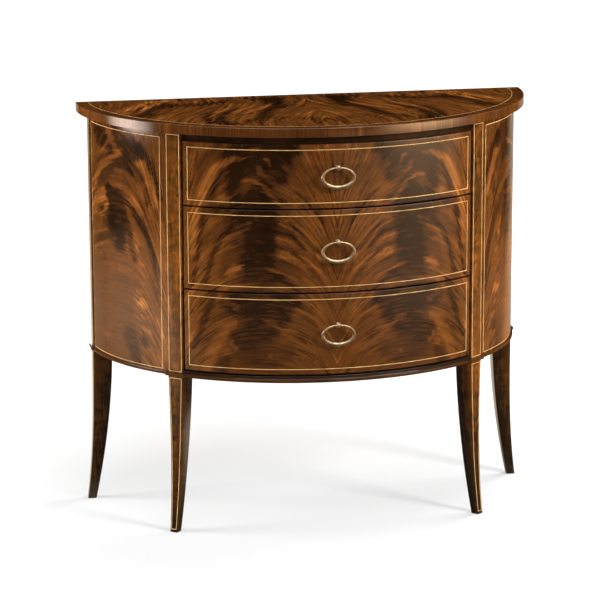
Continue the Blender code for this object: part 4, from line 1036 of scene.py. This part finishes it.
def make_floor():
    """A pale floor: nearly white to the eye, with its shadows. In the polish it glows warm, bright close by and dim in
    front: a painted reflection laid by position, not lit by the lamps.
    """
    material = bpy.data.materials.new("pale_floor")
    tree = cleared_tree(material)
    path = node(tree, "LightPath")
    seen, glossy = path.outputs["Is Camera Ray"], path.outputs["Is Glossy Ray"]
    place = node(tree, "NewGeometry").outputs["Position"]
    x, y, _ = node(tree, "SeparateXYZ", {0: place}).outputs
    reach = node(tree, "VectorMath", {0: place}, operation="LENGTH").outputs["Value"]

    def product(*values):
        result, *shares = values
        for share in shares:
            result = maths(tree, "MULTIPLY", result, share)
        return result

    rightward = maths(tree, "MULTIPLY_ADD", y, 0.9, x)
    near = product(
        span(tree, reach, 2.2, 3.4, 1.0, 0.04),
        span(tree, y, -1.1, -0.4, 0.06, 1.0),
        span(tree, reach, 1.0, 1.9, 0.05, 1.0),
        span(tree, rightward, -2.0, -0.5, 1.25, 0.32),
        span(tree, rightward, 0.5, 1.4, 1.0, 0.45),
    )
    behind = span(tree, maths(tree, "SUBTRACT", y, x), -0.6, 0.9, 0.0, 0.42)
    painted_reflection = maths(tree, "MULTIPLY_ADD", behind, span(tree, x, -0.5, 0.2), near)
    beyond = product(
        span(tree, maths(tree, "MULTIPLY_ADD", y, 0.29, x), -0.64, -0.44),
        span(tree, y, 1.5, 3.9, 0.85, 0.5),
        span(tree, x, 0.35, 0.5, 1.0, 0.0),
    )
    painted_reflection = maths(tree, "MULTIPLY_ADD", beyond, span(tree, y, 0.0, 0.2), painted_reflection)
    veil = span(tree, x, 0.5, 1.3, 0.0, 0.3)
    painted_reflection = product(maths(tree, "MULTIPLY_ADD", veil, span(tree, y, -1.2, -0.8, 1.0, 0.0), painted_reflection), glossy)
    strength = maths(tree, "MULTIPLY_ADD", seen, span(tree, reach, 0.5, 2.4, 0.34, 1.0), painted_reflection)
    grey = product(span(tree, seen, 0.0, 1.0, 0.75, 0.36), maths(tree, "SUBTRACT", 1.0, glossy))
    colour = node(tree, "CombineColor", {0: grey, 1: grey, 2: grey}).outputs[0]
    diffuse = node(tree, "BsdfDiffuse", {"Color": colour}).outputs[0]
    tint = node(tree, "Mix", {0: seen, 6: (1.12, 0.94, 0.68, 1), 7: (1, 1, 1, 1)}, data_type="RGBA")
    glow = node(tree, "Emission", {"Color": tint.outputs[2], "Strength": strength}).outputs[0]
    both = node(tree, "AddShader", {0: diffuse, 1: glow}).outputs[0]
    node(tree, "OutputMaterial", {0: both})
    mesh = bpy.data.meshes.new("floor")
    size = FLOOR_HALF
    mesh.from_pydata([(-size, -size, 0), (size, -size, 0), (size, size, 0), (-size, size, 0)], [], [(0, 1, 2, 3)])
    mesh.materials.append(material)
    floor = add_object("floor", mesh)


def make_world():
    world = bpy.data.worlds.new("studio")
    tree = cleared_tree(world)
    path = node(tree, "LightPath")
    glossy = path.outputs["Is Glossy Ray"]
    place = node(tree, "TexCoord").outputs["Generated"]
    sky = span(tree, node(tree, "SeparateXYZ", {0: place}).outputs[2], 0.32, 0.80, 0.0, 0.8)
    strength = maths(tree, "MULTIPLY_ADD", sky, glossy, span(tree, glossy, 0.0, 1.0, 0.45, 0.0))
    strength = maths(tree, "MAXIMUM", strength, path.outputs["Is Camera Ray"])
    background = node(tree, "Background", {"Color": (1, 1, 1, 1), "Strength": strength}).outputs[0]
    node(tree, "OutputWorld", {0: background})
    bpy.context.scene.world = world


def add_softbox(name, azimuth, distance, low, high, width, radiance, diffuse=True, glossy=True, aim_z=0.5,
                colour=(1, 1, 1), fade=0.0, rise=0.0):
    """A soft lamp that stands at an azimuth from the front, and may fade to its sides or towards its foot."""
    data = bpy.data.lights.new(name, "AREA")
    data.shape = "RECTANGLE"
    data.size, data.size_y = width, high - low
    data.color = colour
    data.energy = radiance * math.pi * width * (high - low)
    lamp = add_object(name, data)
    a = math.radians(azimuth)
    lamp.location = place = Vector((distance * math.sin(a), -distance * math.cos(a), (low + high) / 2))
    lamp.rotation_euler = (Vector((0, 0, aim_z)) - place).to_track_quat("-Z", "Y").to_euler()
    if fade:
        tree = cleared_tree(data)
        spot = node(tree, "NewGeometry").outputs["Parametric"]
        across, up, _ = node(tree, "SeparateXYZ", {0: spot}).outputs
        bell = maths(tree, "MULTIPLY", maths(tree, "MULTIPLY", 4.0, across), maths(tree, "SUBTRACT", 1.0, across))
        bell = maths(tree, "MULTIPLY", maths(tree, "POWER", bell, fade), maths(tree, "POWER", up, rise))
        glow = node(tree, "Emission", {"Color": (1, 1, 1, 1), "Strength": bell}).outputs[0]
        node(tree, "OutputLight", {0: glow})
    lamp.visible_diffuse = diffuse
    lamp.visible_glossy = glossy


def make_lights():
    add_softbox("overhead", -8, 1.3, 2.6, 4.4, 2.6, 3.4)
    add_softbox("key", 46, 3.2, 1.7, 2.6, 0.8, 54.0, glossy=False)
    add_softbox("left_fill", -98, 2.8, 0.6, 2.3, 1.2, 15.5, glossy=False)
    add_softbox("right_fill", 116, 3.0, 0.5, 2.5, 2.0, 12.0, glossy=False)
    warm = (1.0, 0.60, 0.32)
    add_softbox("glint", 44, 2.5, 2.7, 4.2, 3.0, 9.0, False)
    add_softbox("left_sheen", -94.5, 1.6, 0.62, 1.5, 1.04, 12.5, False, aim_z=1.06, colour=(1.0, 0.86, 0.74), fade=1.8)
    add_softbox("right_sheen", 53, 1.85, 0.30, 0.90, 2.0, 13.0, False, aim_z=0.615, colour=warm, fade=2.0, rise=2.0)
    add_softbox("right_glow", 54, 1.87, 0.05, 0.95, 2.4, 0.9, False, aim_z=0.50, colour=warm, fade=1.5, rise=0.2)


make_top()
make_drawer_faces()
make_panel_faces()
make_posts()
make_mouldings()
make_pulls()
make_camera()
make_floor()
make_world()
make_lights()
bpy.context.scene.view_settings.view_transform = "Standard"
